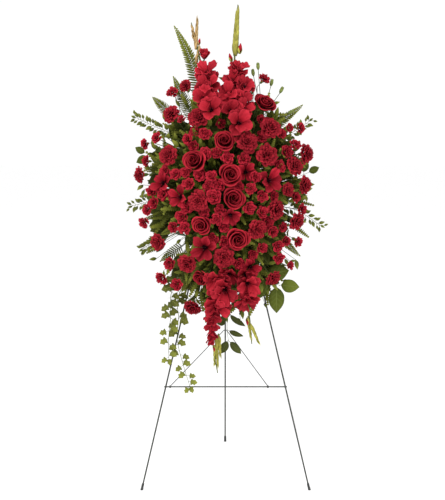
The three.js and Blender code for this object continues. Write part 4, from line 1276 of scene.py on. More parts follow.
MINIS = {
    "minis_top_left": [Spot(172.2, 92, 46), Spot(181.3, 118.8, 34), Spot(156.5, 138, 46),
                       Spot(145, 143.8, 43), Spot(146.3, 161, 46), Spot(205.5, 133.7, 48),
                       Spot(187.5, 139, 46)],
    "minis_top_right": [Spot(264, 79.2, 50), Spot(289.8, 127.6, 36), Spot(300.4, 128, 46),
                        Spot(295.6, 144.5, 46)],
    "minis_left": [Spot(175.4, 174.2, 46), Spot(147.3, 210, 46), Spot(144, 222.7, 48)],
    "minis_centre": [Spot(211.5, 176, 46), Spot(213.8, 196.5, 57), Spot(216.3, 219.7, 46),
                     Spot(185, 228, 50)],
    "minis_right": [Spot(250.5, 188.4, 46), Spot(262, 196.2, 48), Spot(249.3, 208.4, 50),
                    Spot(262.5, 212, 46)],
    "minis_low_right": [Spot(273, 231.6, 50), Spot(262.2, 247.7, 43), Spot(278, 246.6, 48),
                        Spot(279, 258, 46), Spot(290.3, 265.5, 36)],
    "minis_low_left": [Spot(169.5, 263.6, 50), Spot(161.7, 278.2, 52, (-0.6, -0.8, -0.5)),
                       Spot(176.7, 284.3, 50)],
}


@dataclass
class Gladiolus:
    """A gladiolus: florets along a tall stem, smaller towards its tip, then buds and overlapping sheaths."""

    name: str
    line: list[Place]
    florets: list[Spot]
    buds: list[Spot]
    tips: list[Spot]
    sheaths: LeafFinish
    sheath_width: float
    stem: float = 3.6
    tip: float = 1.6
    foot: float = 2.6
    bloom: float = 1.0
    rings: int = 26
    spin: float = 0.5
    foot_share: float = 0.3
    aside: float = 0.5
    forward: float = 0.75
    upward: tuple[float, float] = (0.25, 0.9)
    outward: float = 0.3
    sway: tuple[float, float] = (0.35, 0.2)
    young_size: float = 58
    sheath_pitch: float = 13
    bud_sheath: Sheath = Sheath(-0.85, 1.2, 1.4, 2.2, 0.2, 0.24, run=0.9, rows=5)

    def build(self) -> None:
        """Makes the piece."""
        chance = random.Random(self.name)
        piece = Sculpture(f"{self.name}_flowers")
        points = [VIEW.seen(*place) for place in self.line]
        line = Line(points)
        away = (points[-1] - points[0]).normalized()
        heads, feet = [], []
        for k, spot in enumerate(self.florets):
            at = spot.at()
            foot = line.nearest(at - away * spot.size * self.foot_share)
            young = (k / (len(self.florets) - 1)) ** 2
            facing = (at - foot).normalized() * self.aside + Vector((0, -self.forward, 0))
            facing += away * (self.upward[0] + self.upward[1] * young)
            across, up = self.sway
            sway = Vector((chance.uniform(-across, across), 0, chance.uniform(-up, up)))
            facing = (facing + OVAL.outward(spot.px, spot.py) * self.outward + sway).normalized()
            head = Head(at, facing, spot.size / 2 * self.bloom, k * self.spin, chance)
            kind = HALF_OPEN if spot.size < self.young_size else SPIKE_FLORET
            head.petals(piece, kind, GLADIOLUS_PETALS)
            heads.append(head)
            feet.append(foot)
        for spot in self.buds:
            self.bud(piece, spot, chance)
        for spot in self.tips:
            self.braid(piece, spot, chance)
        piece.thicken(PETAL_THICKNESS)
        add_stem(piece, [FOAM.sink_point(points[0]), points[0]], self.stem)
        shares = [k / self.rings for k in range(self.rings + 1)]
        radii = [self.stem + (self.tip - self.stem) * share ** 2 for share in shares]
        piece.tube([line.at(line.length * share)[0] for share in shares], radii, 8, STALKS)
        for head, foot in zip(heads, feet):
            add_stem(piece, [foot, head.neck(SPIKE_FLORET)], self.foot)
            TRUMPET_THROAT.tube(piece, head, GLADIOLUS_PETALS)
        piece.stand(Slot.GLADIOLI, self.name)

    def bud(self, piece: Sculpture, spot: Spot, chance: random.Random) -> None:
        """Adds a closed bud: petals rolled to a point, in two green sheaths.

        Args:
            piece: The piece that it goes in.
            spot: Its place.
            chance: Where its unevenness comes from.
        """
        head = Head(spot.at(), spot.facing(), spot.size / 2, 0.0, chance)
        for k in range(3):
            angle = 2 * math.pi * k / 3

            def place(across: float, along: float) -> Vector:
                """A point of this rolled petal.

                Args:
                    across: From -1 at one edge to 1 at the other.
                    along: From 0 at the root to 1 at the tip.

                Returns:
                    The point in the drawing.
                """
                out = 0.34 * math.sin(math.pi * min(0.97, 0.12 + 0.86 * along) ** 0.8) + 0.02
                turn = angle + across * 1.25 + along * 0.9
                return head.point(turn, out + 0.03 * across, -0.5 + 1.5 * along)

            piece.blade(place, 4, 6, GLADIOLUS_PETALS, chance.random())
        for k in range(2):
            self.bud_sheath.add(piece, head, math.pi * k + 0.4, self.sheaths)

    def braid(self, piece: Sculpture, spot: Spot, chance: random.Random) -> None:
        """Adds a tip's sheaths, which overlap by turns on its two sides and narrow to a point.

        Args:
            piece: The piece that they go in.
            spot: The tip's middle, length and direction.
            chance: Where their unevenness comes from.
        """
        head = Head(spot.at(), spot.facing(), spot.size / 2, 0.0, chance)
        count = max(6, round(spot.size / self.sheath_pitch))
        for k in range(count):
            share = k / count
            width = self.sheath_width * (1 - 0.45 * share) / head.radius
            angle = math.pi * (k % 2) + chance.uniform(-0.5, 0.5) - 0.3
            sheath = Sheath(-0.95 + 1.45 * share, 0.62 - 0.12 * share, 1.85, 2.4, 0.35 * width, 0.75 * width,
                            swell=0.1, run=0.85, lean=0.25)
            sheath.add(piece, head, angle, self.sheaths)


GLADIOLI = [
    Gladiolus(
        "gladiolus_upper_left",
        [(210, 120, 60), (206, 98, 70), (203, 74, 88), (198, 51, 100), (195.8, 41, 104), (191.3, 22.6, 108)],
        [Spot(211, 108, 90, y=-45), Spot(203.5, 97, 93, y=-20), Spot(211, 97, 80, y=0),
         Spot(207.6, 84, 102, y=6), Spot(204, 89, 76, y=16), Spot(210, 77, 78, y=34), Spot(203, 76, 66, y=40),
         Spot(207, 70, 88, y=34), Spot(204.4, 55, 56, y=64)],
        [Spot(199.2, 42, 26, (0.2, -0.3, 1), y=96)],
        [Spot(196.6, 31.5, 132, (0.07, 0, 1), y=104), Spot(192.9, 31.5, 72, (-0.15, 0, 1), y=106),
         Spot(198.2, 52, 84, (0.24, 0, 1), y=102)],
        DRY_SHEATHS, 8.0, stem=4.4, bloom=0.9),
    Gladiolus(
        "gladiolus_upper_right",
        [(240, 126, 60), (238, 104, 66), (236, 84, 80), (234.6, 60, 96), (235.6, 40, 104), (237.9, 4.6, 110)],
        [Spot(240, 122, 95, y=-46), Spot(231, 110, 85, y=-20), Spot(245, 108, 78, y=0),
         Spot(242, 101, 88, y=6), Spot(234, 99, 80, y=16), Spot(228, 93, 81, y=12), Spot(240, 91, 82, y=36),
         Spot(245.8, 84, 81, y=34), Spot(237.5, 80, 76, y=52), Spot(231.4, 78, 76, y=42),
         Spot(236, 69, 62, y=66), Spot(240.6, 66.4, 72, y=62)],
        [Spot(240, 49, 40, (0.1, -0.2, 1), y=92), Spot(230.6, 58, 34, (-0.3, -0.3, 1), y=90)],
        [Spot(236.4, 30, 190, (0.06, 0.03, 1), y=107)],
        SHEATHS, 13.0, bloom=0.95),
    Gladiolus(
        "gladiolus_lower_left",
        [(226, 262, 20), (222, 284, 20), (219, 304, 26), (214, 326, 34), (213, 344, 38), (217.6, 373, 40)],
        [Spot(229, 276.6, 78, y=-4), Spot(214.4, 281, 78, y=-30), Spot(222, 284, 80, y=-24),
         Spot(224.6, 293, 100, y=-62), Spot(216, 298, 80, y=-34), Spot(217.5, 309, 93, y=-34),
         Spot(222, 305, 70, y=-20), Spot(212.5, 318.5, 74, y=-20), Spot(212, 327, 61, y=-8),
         Spot(211.5, 334, 50, y=2), Spot(210.6, 340.5, 40, y=12)],
        [Spot(214.3, 348, 26, (0, -0.1, -1), y=30)],
        [Spot(217.2, 354, 146, (0.05, 0, -1), y=39), Spot(214.8, 358, 88, (-0.02, 0, -1), y=37),
         Spot(219.8, 348, 110, (0.06, 0, -1), y=41)],
        SHEATHS, 7.5),
    Gladiolus(
        "gladiolus_lower_right",
        [(243, 262, 30), (246, 284, 30), (247, 302, 34), (249.5, 318, 38), (251.8, 344, 42)],
        [Spot(246, 277, 76, y=-10), Spot(248.6, 286, 93, y=-34), Spot(251, 297, 76, y=-4),
         Spot(244.4, 304, 88, y=-6)],
        [Spot(247.4, 321, 30, (0, -0.2, -1), y=28)],
        [Spot(250, 331, 100, (0.14, 0, -1), y=40), Spot(255.6, 335.5, 100, (0.42, 0, -1), y=39)],
        SHEATHS, 7.5),
]


@dataclass
class GreenBuds:
    """Unopened carnation buds, each on its thin stem from one fork."""

    name: str = "green_buds"
    fork: Place = (262, 118, 142)
    depth: float = 130.0
    size: float = 14.0
    lift: Place = (0.0, -0.2, 0.3)
    teeth: int = 5
    tooth: Sheath = Sheath(0.3, 0.62, 0.62, 2.0, 0.42, 0.05, slope=-0.14, columns=2, rows=3)
    heights: tuple[float, ...] = (-1.0, -0.7, -0.2, 0.3, 0.6, 0.86)
    widths: tuple[float, ...] = (0.12, 0.34, 0.48, 0.42, 0.28, 0.06)
    stalk: float = 1.1
    stem: float = 1.6
    places: Pairs = ((253, 72.3), (258, 66), (271.6, 82.4), (281.5, 89.8), (291, 112))

    def build(self) -> None:
        """Makes the piece."""
        chance = random.Random(self.name)
        piece = Sculpture("green_bud_stems")
        fork = VIEW.seen(*self.fork)
        heads = []
        for px, py in self.places:
            at = VIEW.seen(px, py, self.depth)
            facing = ((at - fork).normalized() + Vector(self.lift)).normalized()
            head = Head(at, facing, self.size, chance.random(), chance)
            heads.append(head)
            for k in range(self.teeth):
                self.tooth.add(piece, head, 2 * math.pi * k / self.teeth, BUD_SKIN)
        piece.thicken(PETAL_THICKNESS)
        for head in heads:
            head.tube(piece, self.heights, self.widths, BUD_SKIN)
            add_stem(piece, [fork, head.at - head.facing * head.radius], self.stalk)
        add_stem(piece, [FOAM.sink_point(fork), fork], self.stem)
        piece.stand(Slot.BUDS, self.name)


# Foliage


@dataclass(frozen=True)
class LeafForm:
    """A leaf's outline, as pairs of share of length and half width, and how finely it is meshed."""

    outline: Pairs
    columns: int
    rows: int

    def half_width(self, t: float) -> float:
        """The half width, as a share of the leaf's width, at a share of its length.

        Args:
            t: Share of the length, from 0 to 1.

        Returns:
            The half width.
        """
        for (t0, w0), (t1, w1) in zip(self.outline, self.outline[1:]):
            if t <= t1:
                return w0 + (w1 - w0) * (t - t0) / (t1 - t0)
        return self.outline[-1][1]


def lobed_outline(lobes: int) -> Pairs:
    """The outline of a fern's leaflet: a row of lobes that narrows to its tip.

    Args:
        lobes: How many lobes each edge has.

    Returns:
        Pairs of share of length and half width.
    """
    points = []
    for k in range(lobes):
        taper = 1 - 0.75 * (k / lobes) ** 1.5
        low = k / lobes
        points += [(low, 0.14 * taper), (low + 0.34 / lobes, 0.5 * taper), (low + 0.8 / lobes, 0.42 * taper)]
    return (*points, (1.0, 0.02))


OVAL_OUTLINE = ((0, 0.03), (0.06, 0.2), (0.15, 0.35), (0.3, 0.47), (0.45, 0.5), (0.6, 0.46), (0.75, 0.36),
                (0.87, 0.2), (0.95, 0.08), (1, 0.005))
SMALL_OUTLINE = ((0, 0.05), (0.12, 0.28), (0.3, 0.47), (0.45, 0.5), (0.62, 0.42), (0.8, 0.24), (0.93, 0.08),
                 (1, 0.005))
IVY_OUTLINE = ((0, 0.12), (0.05, 0.34), (0.12, 0.5), (0.2, 0.44), (0.32, 0.32), (0.4, 0.29), (0.5, 0.34),
               (0.6, 0.42), (0.66, 0.36), (0.76, 0.22), (0.88, 0.12), (1, 0.005))
SALAL_LEAF = LeafForm(OVAL_OUTLINE, 4, 10)
FILLING_LEAF = LeafForm(OVAL_OUTLINE, 4, 6)
SPRIG_LEAF = LeafForm(SMALL_OUTLINE, 2, 5)
IVY_LEAF = LeafForm(IVY_OUTLINE, 4, 16)
LEAFLET = LeafForm(((0, 0.44), (0.1, 0.5), (0.6, 0.46), (0.85, 0.3), (1, 0.03)), 2, 5)
FERN_TIP = LeafForm(lobed_outline(8), 2, 24)


@dataclass(frozen=True)
class Leaf:
    """A leaf on a stem: where it starts, its side, its angle to the stem, its size and its stalk."""

    start: float
    side: int
    angle: float
    length: float
    width: float
    stalk: float = 0.0
    tilt: float = 0.0
    droop: float = 0.0
    fold: float = 0.12


@dataclass
class Foliage:
    """Leafy stems of one node: the first is sunk in the foam, and the others branch from it."""

    piece: Sculpture
    lines: list[Line] = field(default_factory=list)
    half: float = 1.4
    facing: Vector = field(default_factory=lambda: Vector((0, -1, 0)))
    straight: float = 95.0
    branch_share: float = 0.9
    branch_out: float = 0.4
    sunk: float = -24.0
    rings: int = 22
    thinner: float = 0.55
    stalk_radii: tuple[float, float] = (0.8, 0.55)

    def add_line(self, places: Iterable[Place]) -> Line:
        """Adds a stem's line.

        Args:
            places: Pixels and depths that the stem passes through.

        Returns:
            The line.
        """
        points = [VIEW.seen(*place) for place in places]
        if self.lines:
            first = self.lines[0]
            end = first.at(self.straight)[0]
            fork = first.points[0].lerp(end, self.branch_share) + FOAM.forward * self.branch_out
            line = Line([fork, *points])
        else:
            line = Line([FOAM.sink_point(points[0], self.sunk), *points])
        self.lines.append(line)
        return line

    def leaf(self, line: Line, leaf: Leaf, form: LeafForm, finish: Finish, tone: float) -> None:
        """Adds a leaf.

        Args:
            line: The stem's line.
            leaf: The leaf's place and size.
            form: Its form.
            finish: Its finish.
            tone: How light it is.
        """
        cosine, sine = math.cos(leaf.angle), math.sin(leaf.angle)

        def place(across: float, along: float) -> Vector:
            """A point of this leaf.

            Args:
                across: From -1 at one edge to 1 at the other.
                along: From 0 at the root to 1 at the tip.

            Returns:
                The point in the drawing.
            """
            aside = across * form.half_width(along) * leaf.width
            reach = leaf.stalk + along * leaf.length
            u = leaf.start + cosine * reach + sine * aside
            v = leaf.side * (self.half + sine * reach - cosine * aside)
            out = leaf.tilt * aside + leaf.fold * abs(aside) - leaf.droop * along * along * leaf.length
            return self.bent(line, u, v, out)

        self.piece.blade(place, form.columns, form.rows, finish, tone)

    def bent(self, line: Line, u: float, v: float, out: float) -> Vector:
        """A point of a leafy stem's surface, bent along its line.

        Args:
            line: The stem's line.
            u: Distance along the line.
            v: Distance to the side.
            out: Distance out of the surface.

        Returns:
            The point.
        """
        inside = max(0.0, min(line.length, u))
        point, along = line.at(inside)
        normal = (self.facing - along * self.facing.dot(along)).normalized()
        across = normal.cross(along)
        return point + along * (u - inside) + across * v + normal * out

    def stems(self, finish: Finish, radius: float) -> None:
        """Adds the stems themselves.

        Args:
            finish: Their finish.
            radius: Their radius at the root.
        """
        shares = [k / self.rings for k in range(self.rings + 1)]
        radii = [radius * (1 - self.thinner * share) for share in shares]
        for line in self.lines:
            self.piece.tube([line.at(line.length * share)[0] for share in shares], radii, 6, finish)

    def stalks(self, line: Line, leaves: list[Leaf]) -> None:
        """Adds the thin stalk of each leaf that has one.

        Args:
            line: The stem's line.
            leaves: The leaves.
        """
        for leaf in leaves:
            if leaf.stalk > 1:
                reach = leaf.stalk + leaf.length * 0.08
                up, out = math.cos(leaf.angle) * reach, math.sin(leaf.angle) * reach
                root = self.bent(line, leaf.start, 0, 0)
                tip = self.bent(line, leaf.start + up, leaf.side * (self.half + out), 0)
                self.piece.tube([root, tip], self.stalk_radii, 5, STALKS)


@dataclass(frozen=True)
class OwnLeaf:
    """A leaf with its own place on its stem: the share of the way up, its side, angle, length and width."""

    at: float
    side: int
    angle: float
    length: float
    width: float


@dataclass(frozen=True)
class Plan:
    """One leafy stem: the places it passes through, and its leaves' count and size, or each leaf's own."""

    line: tuple[Place, ...]
    count: int = 0
    size: float = 0.0
    width: float = 0.0
    bare_to: int = 1
    own: tuple[OwnLeaf, ...] = ()


@dataclass
class LeafStems:
    """Stems with leaves by turns on their two sides."""

    name: str
    plans: list[Plan]
    form: LeafForm
    leaves: LeafFinish
    slot: Slot
    angle: float = 0.9
    stalk: float = 0.12
    bunches: int = 1
    taper: float = 0.35
    lighter_tips: bool = False
    stem: float = 1.3
    bare_share: float = 0.95
    tip_length: float = 0.6
    tip_width: float = 0.55
    sway: float = 0.25
    tilt: float = 0.45
    droop: tuple[float, float] = (-0.08, 0.16)
    own_tilt: float = 0.2
    own_droop: tuple[float, float] = (-0.04, 0.1)

    def build(self) -> None:
        """Makes the piece."""
        chance = random.Random(self.name)
        piece = Sculpture(f"{self.name}_leaves")
        foliage = Foliage(piece)
        held = []
        for plan in self.plans:
            line = foliage.add_line(plan.line)
            bare = line.length_to(1) * self.bare_share
            if plan.own:
                leaves = [self.own_leaf(line, bare, leaf, chance) for leaf in plan.own]
            else:
                leaves = self.alternate(line, bare, plan, chance)
                length, width = plan.size * self.tip_length, plan.width * self.tip_width
                tip = Leaf(line.length - 3, 1, 0.06, length, width, droop=0.05)
                foliage.leaf(line, tip, self.form, self.leaves, chance.random())
            for leaf in leaves:
                tone = chance.random()
                if self.lighter_tips:
                    tone = 0.25 * tone + 0.85 * ((leaf.start - bare) / (line.length - bare)) ** 1.5
                foliage.leaf(line, leaf, self.form, self.leaves, tone)
            held.append((line, leaves))
        piece.thicken(LEAF_THICKNESS)
        for line, leaves in held:
            foliage.stalks(line, leaves)
        foliage.stems(STALKS, self.stem)
        piece.stand(self.slot, self.name)

    def own_leaf(self, line: Line, bare: float, leaf: OwnLeaf, chance: random.Random) -> Leaf:
        """A leaf with a place of its own.

        Args:
            line: The stem's line.
            bare: How far up it the first leaf could be.
            leaf: The leaf's share of the way up, and its size.
            chance: Where its unevenness comes from.

        Returns:
            The leaf.
        """
        tilt, droop = chance.uniform(-self.own_tilt, self.own_tilt), chance.uniform(*self.own_droop)
        return Leaf(bare + (line.length - bare) * leaf.at, leaf.side, leaf.angle, leaf.length, leaf.width,
                    leaf.length * self.stalk, tilt, droop)

    def alternate(self, line: Line, bare: float, plan: Plan, chance: random.Random) -> list[Leaf]:
        """Leaves by turns on a stem's two sides.

        Args:
            line: The stem's line.
            bare: How far up it the first leaf is.
            plan: Their count and size.
            chance: Where their unevenness comes from.

        Returns:
            The leaves.
        """
        pitch = (line.length - bare) / plan.count
        leaves = []
        for k in range(plan.count):
            taper = 1 - self.taper * (k / plan.count)
            for extra in range(self.bunches):
                share = taper * (1 - 0.15 * extra)
                side = (1 if k % 2 else -1) * (-1 if extra % 2 else 1)
                angle = self.angle + chance.uniform(-self.sway, self.sway)
                tilt, droop = chance.uniform(-self.tilt, self.tilt), chance.uniform(*self.droop)
                stalk = plan.size * self.stalk * (1 + 0.6 * extra)
                leaves.append(Leaf(bare + pitch * (k + 0.35 + 0.4 * extra), side, angle,
                                   plan.size * share, plan.width * share, stalk, tilt, droop))
        return leaves


@dataclass
class Fronds:
    """Fern fronds: close leaflets in pairs along a dark rib, longest a third of the way up."""

    name: str
    plans: list[Plan]
    denser: float = 3.1
    bare: float = 10.0
    stem: float = 2.3
    lengths: Place = (0.86, 0.9, -1.65)
    shortest: float = 0.14
    angles: tuple[float, float] = (1.36, -0.6)
    widths: tuple[float, float] = (0.6, 0.45)
    sway: float = 0.05
    tilt: float = 0.3
    droop: tuple[float, float] = (-0.06, 0.14)

    def build(self) -> None:
        """Makes the piece."""
        chance = random.Random(self.name)
        piece = Sculpture(f"{self.name}_fronds")
        foliage = Foliage(piece)
        for plan in self.plans:
            line = foliage.add_line(plan.line)
            bare = line.length_to(plan.bare_to) + self.bare
            pairs = round(plan.count * self.denser)
            pitch = (line.length - bare) / (pairs + 0.6)
            for k in range(pairs):
                t = k / (pairs - 1)
                share = self.lengths[0] + self.lengths[1] * t + self.lengths[2] * t * t
                length = plan.size * max(share, self.shortest)
                width = pitch * (self.widths[0] + self.widths[1] * t)
                for side in (-1, 1):
                    angle = self.angles[0] + self.angles[1] * t + chance.uniform(-self.sway, self.sway)
                    tilt, droop = chance.uniform(-self.tilt, self.tilt), chance.uniform(*self.droop)
                    start = bare + pitch * (k + 0.6 + 0.25 * side)
                    leaf = Leaf(start, side, angle, length, width, 0.0, tilt, droop, fold=0.1)
                    tone = 0.3 * chance.random() + 0.8 * t * t
                    foliage.leaf(line, leaf, LEAFLET, FERN_LEAVES, tone)
            tip = Leaf(line.length - 4, 1, 0.05, plan.size * 0.3, pitch * 0.6)
            foliage.leaf(line, tip, LEAFLET, FERN_LEAVES, 1.0)
        piece.thicken(PETAL_THICKNESS)
        foliage.stems(FERN_RIBS, self.stem)
        piece.stand(Slot.FERNS, self.name)


FERNS = {
    "fern_top_left": [Plan(((205, 112, 110), (196, 78, 116), (188.8, 55, 118), (175, 26.5, 112)), 11, 30)],
    "fern_upper_left": [
        Plan(((203, 142, 116), (194, 122, 118), (184, 101, 118), (173.7, 76.5, 112)), 8, 25, bare_to=2),
        Plan(((176, 121, 130), (166, 110, 126), (152.9, 97, 116)), 7, 23),
    ],
    "fern_right_high": [
        Plan(((252, 146, 158), (279, 123, 154), (302.5, 105.6, 144)), 9, 26),
        Plan(((246, 112, 184), (253, 84, 176)), 7, 20),
    ],
    "fern_left": [Plan(((200, 214, 118), (172, 213.5, 104), (145, 218.5, 92)), 10, 26)],
    "fern_low_left": [
        Plan(((200, 226, 112), (188, 224, 104), (161, 234, 88)), 7, 20, bare_to=2),
        Plan(((184, 244, 100), (160, 261, 84)), 4, 22),
    ],
    "fern_low_right": [Plan(((252, 222, 116), (275, 234, 104), (299.5, 256, 86)), 9, 25)],
}

SPRIGS = {
    "sprig_left_high": [Plan(((186, 140, 140), (158, 128, 136), (135, 117, 126)), 11, 30, 17)],
    "sprigs_left": [
        Plan(((186, 204, 134), (156, 201, 122), (131.5, 206, 112)), 10, 30, 16),
        Plan(((160, 238, 112), (142, 249, 98)), 8, 28, 16),
    ],
    "sprig_right": [Plan(((264, 204, 124), (296, 210, 116), (321, 226, 104)), 10, 30, 16)],
    "sprig_right_high": [Plan(((262, 152, 172), (290, 134, 168), (310, 121, 154)), 9, 30, 16)],
}

SALAL = {
    "salal_low_right": [Plan(
        ((250, 262, 84), (266, 276, 78), (280, 286, 72)),
        own=(OwnLeaf(0.2, -1, 0.9, 62, 42), OwnLeaf(0.55, 1, 0.8, 78, 60), OwnLeaf(0.6, -1, 1.35, 80, 44),
             OwnLeaf(0.9, -1, 0.95, 94, 58), OwnLeaf(0.96, 1, 0.5, 66, 48)))],
    "salal_low_centre": [Plan(
        ((232, 300, 66), (227.5, 318, 62), (227.5, 334, 58), (229, 343, 56)),
        own=(OwnLeaf(0.36, 1, 0.9, 74, 25), OwnLeaf(0.5, -1, 1.2, 36, 32), OwnLeaf(0.72, 1, 1.0, 58, 22),
             OwnLeaf(0.93, -1, 0.63, 50, 30), OwnLeaf(0.95, 1, 0.57, 58, 28)))],
    "salal_right": [Plan(((252, 190, 140), (284, 182, 136), (310, 172, 126)), 6, 66, 48)],
    "salal_left": [Plan(((200, 182, 140), (168, 168, 138), (144, 152, 130)), 6, 64, 46)],
}

# The stem under the spray takes the darker salal copy, as painted shade.
SHADED_SALAL_STEMS = ("salal_low_centre",)

IVY = {
    "ivy_long": [Plan(((196, 270, 124), (178, 296, 106), (178.5, 318, 90), (177, 338, 76), (181, 357, 62),
                       (186, 374, 50), (190.5, 388, 44)), 12, 39, 39)],
    "ivy_short": [Plan(((186, 262, 96), (171.5, 292, 74), (170.5, 318, 60), (168.5, 340, 51), (169, 360, 44)),
                       8, 39, 39)],
}


def all_blooms() -> list[Spot]:
    """Every flower head but the half-hidden ones.

    Returns:
        Their spots.
    """
    groups = [*ROSES.values(), *CARNATIONS.values(), *STARS.values(), *MINIS.values()]
    groups += [spike.florets for spike in GLADIOLI]
    return [spot for group in groups for spot in group]


@dataclass
class Clearance:
    """Keeps the filling leaves out of the flowers, and out of the view of the fronds and sprigs."""

    share: float = 0.42
    beside: float = 6.5
    before: float = 10.0
    steps: tuple[float, ...] = (0.3, 0.5, 0.7, 0.9, 1.1)
    gaps: tuple[Place, ...] = (
        (174, 239, 3), (171, 252, 6), (181, 249, 4), (290, 210, 3), (282, 208, 2), (186, 118, 4),
        (286, 250, 4), (292, 232, 3))

    def __post_init__(self) -> None:
        """Lists the flowers' middles and points along the fronds and sprigs."""
        self.blooms = [(spot.at(), spot.size * self.share) for spot in all_blooms()]
        self.along = []
        for plans in (*FERNS.values(), *SPRIGS.values()):
            for plan in plans:
                low, high = plan.line[-2:]
                for step in self.steps:
                    self.along.append(tuple(a + (b - a) * step for a, b in zip(low, high)))

    def free(self, points: list[Vector], px: float, py: float, y: float) -> bool:
        """Whether a leaf is out of every flower's way and hides no frond.

        Args:
            points: Points along the leaf.
            px: Its middle's pixel across.
            py: Its middle's pixel down.
            y: Its middle's depth.

        Returns:
            True if it is.
        """
        if any((point - middle).length < reach for point in points for middle, reach in self.blooms):
            return False
        return not any(math.hypot(px - x, py - z) < self.beside and y < depth + self.before
                       for x, z, depth in self.along)

    def covers(self, points: list[Vector]) -> bool:
        """Whether a leaf covers a gap where the light shows through the edge of the spray."""
        pixels = [VIEW.pixel(point) for point in points]
        return any(math.hypot(px - x, py - y) < reach for px, py in pixels for x, y, reach in self.gaps)


@dataclass(frozen=True)
class FoldedLeg:
    """The back leg's line when it is folded flat, which the foliage behind the flowers leaves clear."""

    hinge: tuple[float, float] = (274.7, 1279.0)
    slope: float = -0.198
    aside: float = 9.0
    before: float = 9.0

    def meets(self, points: list[Vector]) -> bool:
        """Whether a leaf is in the leg's way.

        Args:
            points: Points spread over the leaf.

        Returns:
            True if it is.
        """
        return any(abs(point.x) < self.aside and point.z < self.hinge[1]
                   and point.y > self.hinge[0] + self.slope * (self.hinge[1] - point.z) - self.before
                   for point in points)


FOLDED_LEG = FoldedLeg()


@dataclass(frozen=True)
class FillerLayer:
    """One layer of the filling foliage: its leaves' number, sizes, place behind the flowers and form."""

    name: str
    slot: Slot
    count: int
    length: tuple[float, float]
    width: tuple[float, float]
    behind: tuple[float, float]
    inside: float
    outside: float
    spread: float
    form: LeafForm
    finish: LeafFinish


@dataclass
class Filler:
    """One layer of leaves on thin stems from the foam, which fill the oval between and behind the flowers."""

    layer: FillerLayer
    deepest: float = 168.0
    sunk: float = 4.0
    steps: int = 8
    stalk_radii: tuple[float, float] = (1.1, 0.8)
    jitter: float = 0.1
    wander: Pairs = ((-1.0, 1.0), (-0.6, 0.2), (-1.0, 1.0))
    view: Place = (0.0, -1.0, 0.2)
    outward: float = 0.8
    curl: tuple[float, float] = (-0.05, 0.22)
    fold: float = 0.15

    def build(self) -> None:
        """Makes the piece."""
        chance = random.Random(self.layer.name)
        piece = Sculpture(self.layer.name)
        clearance = Clearance()
        stems = [self.leaf(piece, k, chance, clearance) for k in range(self.layer.count)]
        piece.thicken(LEAF_THICKNESS)
        for ends in stems:
            if ends:
                piece.tube(ends, self.stalk_radii, 5, STALKS)
        piece.stand(self.layer.slot)

    def spot(self, k: int, chance: random.Random) -> Place:
        """Where a leaf is, as the leaves of a layer lie on one spiral over the oval.

        Args:
            k: Its number in the layer.
            chance: Where its unevenness comes from.

        Returns:
            The pixels and depth of its middle.
        """
        layer = self.layer
        turn = k * GOLDEN_ANGLE + chance.uniform(-self.jitter, self.jitter)
        inside, outside = layer.inside ** 2, layer.outside ** 2
        share = math.sqrt(inside + (outside - inside) * (k + 0.5) / layer.count)
        px, py = OVAL.spiral(share, turn)
        return px, py, min(self.deepest, OVAL.depth(px, py) + chance.uniform(*layer.behind))

    def leaf(self, piece: Sculpture, k: int, chance: random.Random,
             clearance: Clearance) -> tuple[Vector, Vector] | None:
        """Adds one leaf, unless something is in its way.

        Args:
            piece: The piece that it goes in.
            k: Its number in the layer.
            chance: Where its unevenness comes from.
            clearance: What it must keep clear of.

        Returns:
            The two ends of its stem, or nothing.
        """
        layer = self.layer
        px, py, depth = self.spot(k, chance)
        at = VIEW.seen(px, py, depth)
        sink = FOAM.sink_point(at, self.sunk)
        wander = Vector([chance.uniform(*limits) for limits in self.wander])
        axis = ((at - sink).normalized() + wander * layer.spread).normalized()
        view = Vector(self.view) + OVAL.outward(px, py) * self.outward
        normal = (view - axis * axis.dot(view)).normalized()
        side = axis.cross(normal)
        length = chance.uniform(*layer.length)
        width = length * chance.uniform(*layer.width)
        curl = chance.uniform(*self.curl)
        root = at - axis * length * 0.5
        if not clearance.free([at + axis * length * share for share in (0.0, 0.3, 0.5)], px, py, depth):
            return None

        def place(across: float, along: float) -> Vector:
            """A point of this leaf.

            Args:
                across: From -1 at one edge to 1 at the other.
                along: From 0 at the root to 1 at the tip.

            Returns:
                The point in the drawing.
            """
            aside = across * layer.form.half_width(along) * width
            lift = self.fold * abs(aside) - curl * along * along * length
            return root + axis * along * length + side * aside + normal * lift

        tone = chance.random()
        shares = [step / self.steps for step in range(self.steps + 1)]
        points = [place(2 * across - 1, along) for across in shares for along in shares]
        if FOLDED_LEG.meets(points) or clearance.covers(points):
            return None
        piece.blade(place, layer.form.columns, layer.form.rows, layer.finish, tone)
        return sink, root


# The two deeper leaf layers take the near-black leaves, which paint the shade inside the spray.
FILLER_LAYERS = (
    FillerLayer("backing_leaves", Slot.SALAL, 170, (80.0, 110.0), (0.55, 0.7), (110.0, 160.0), 0.0, 0.8, 0.45,
                FILLING_LEAF, SHADE_DARKENED_LEAVES),
    FillerLayer("filler_leaves", Slot.SALAL, 280, (48.0, 76.0), (0.42, 0.6), (84.0, 150.0), 0.0, 0.84, 0.9,
                FILLING_LEAF, SHADE_DARKENED_LEAVES),
    FillerLayer("filler_ferns", Slot.FERNS, 300, (46.0, 74.0), (0.3, 0.42), (34.0, 90.0), 0.1, 0.92, 0.8,
                FERN_TIP, DARK_FERN),
    FillerLayer("filler_sprigs", Slot.SPRIGS, 330, (24.0, 38.0), (0.36, 0.5), (28.0, 76.0), 0.15, 0.98, 1.0,
                SPRIG_LEAF, MOSS_LEAVES),
)


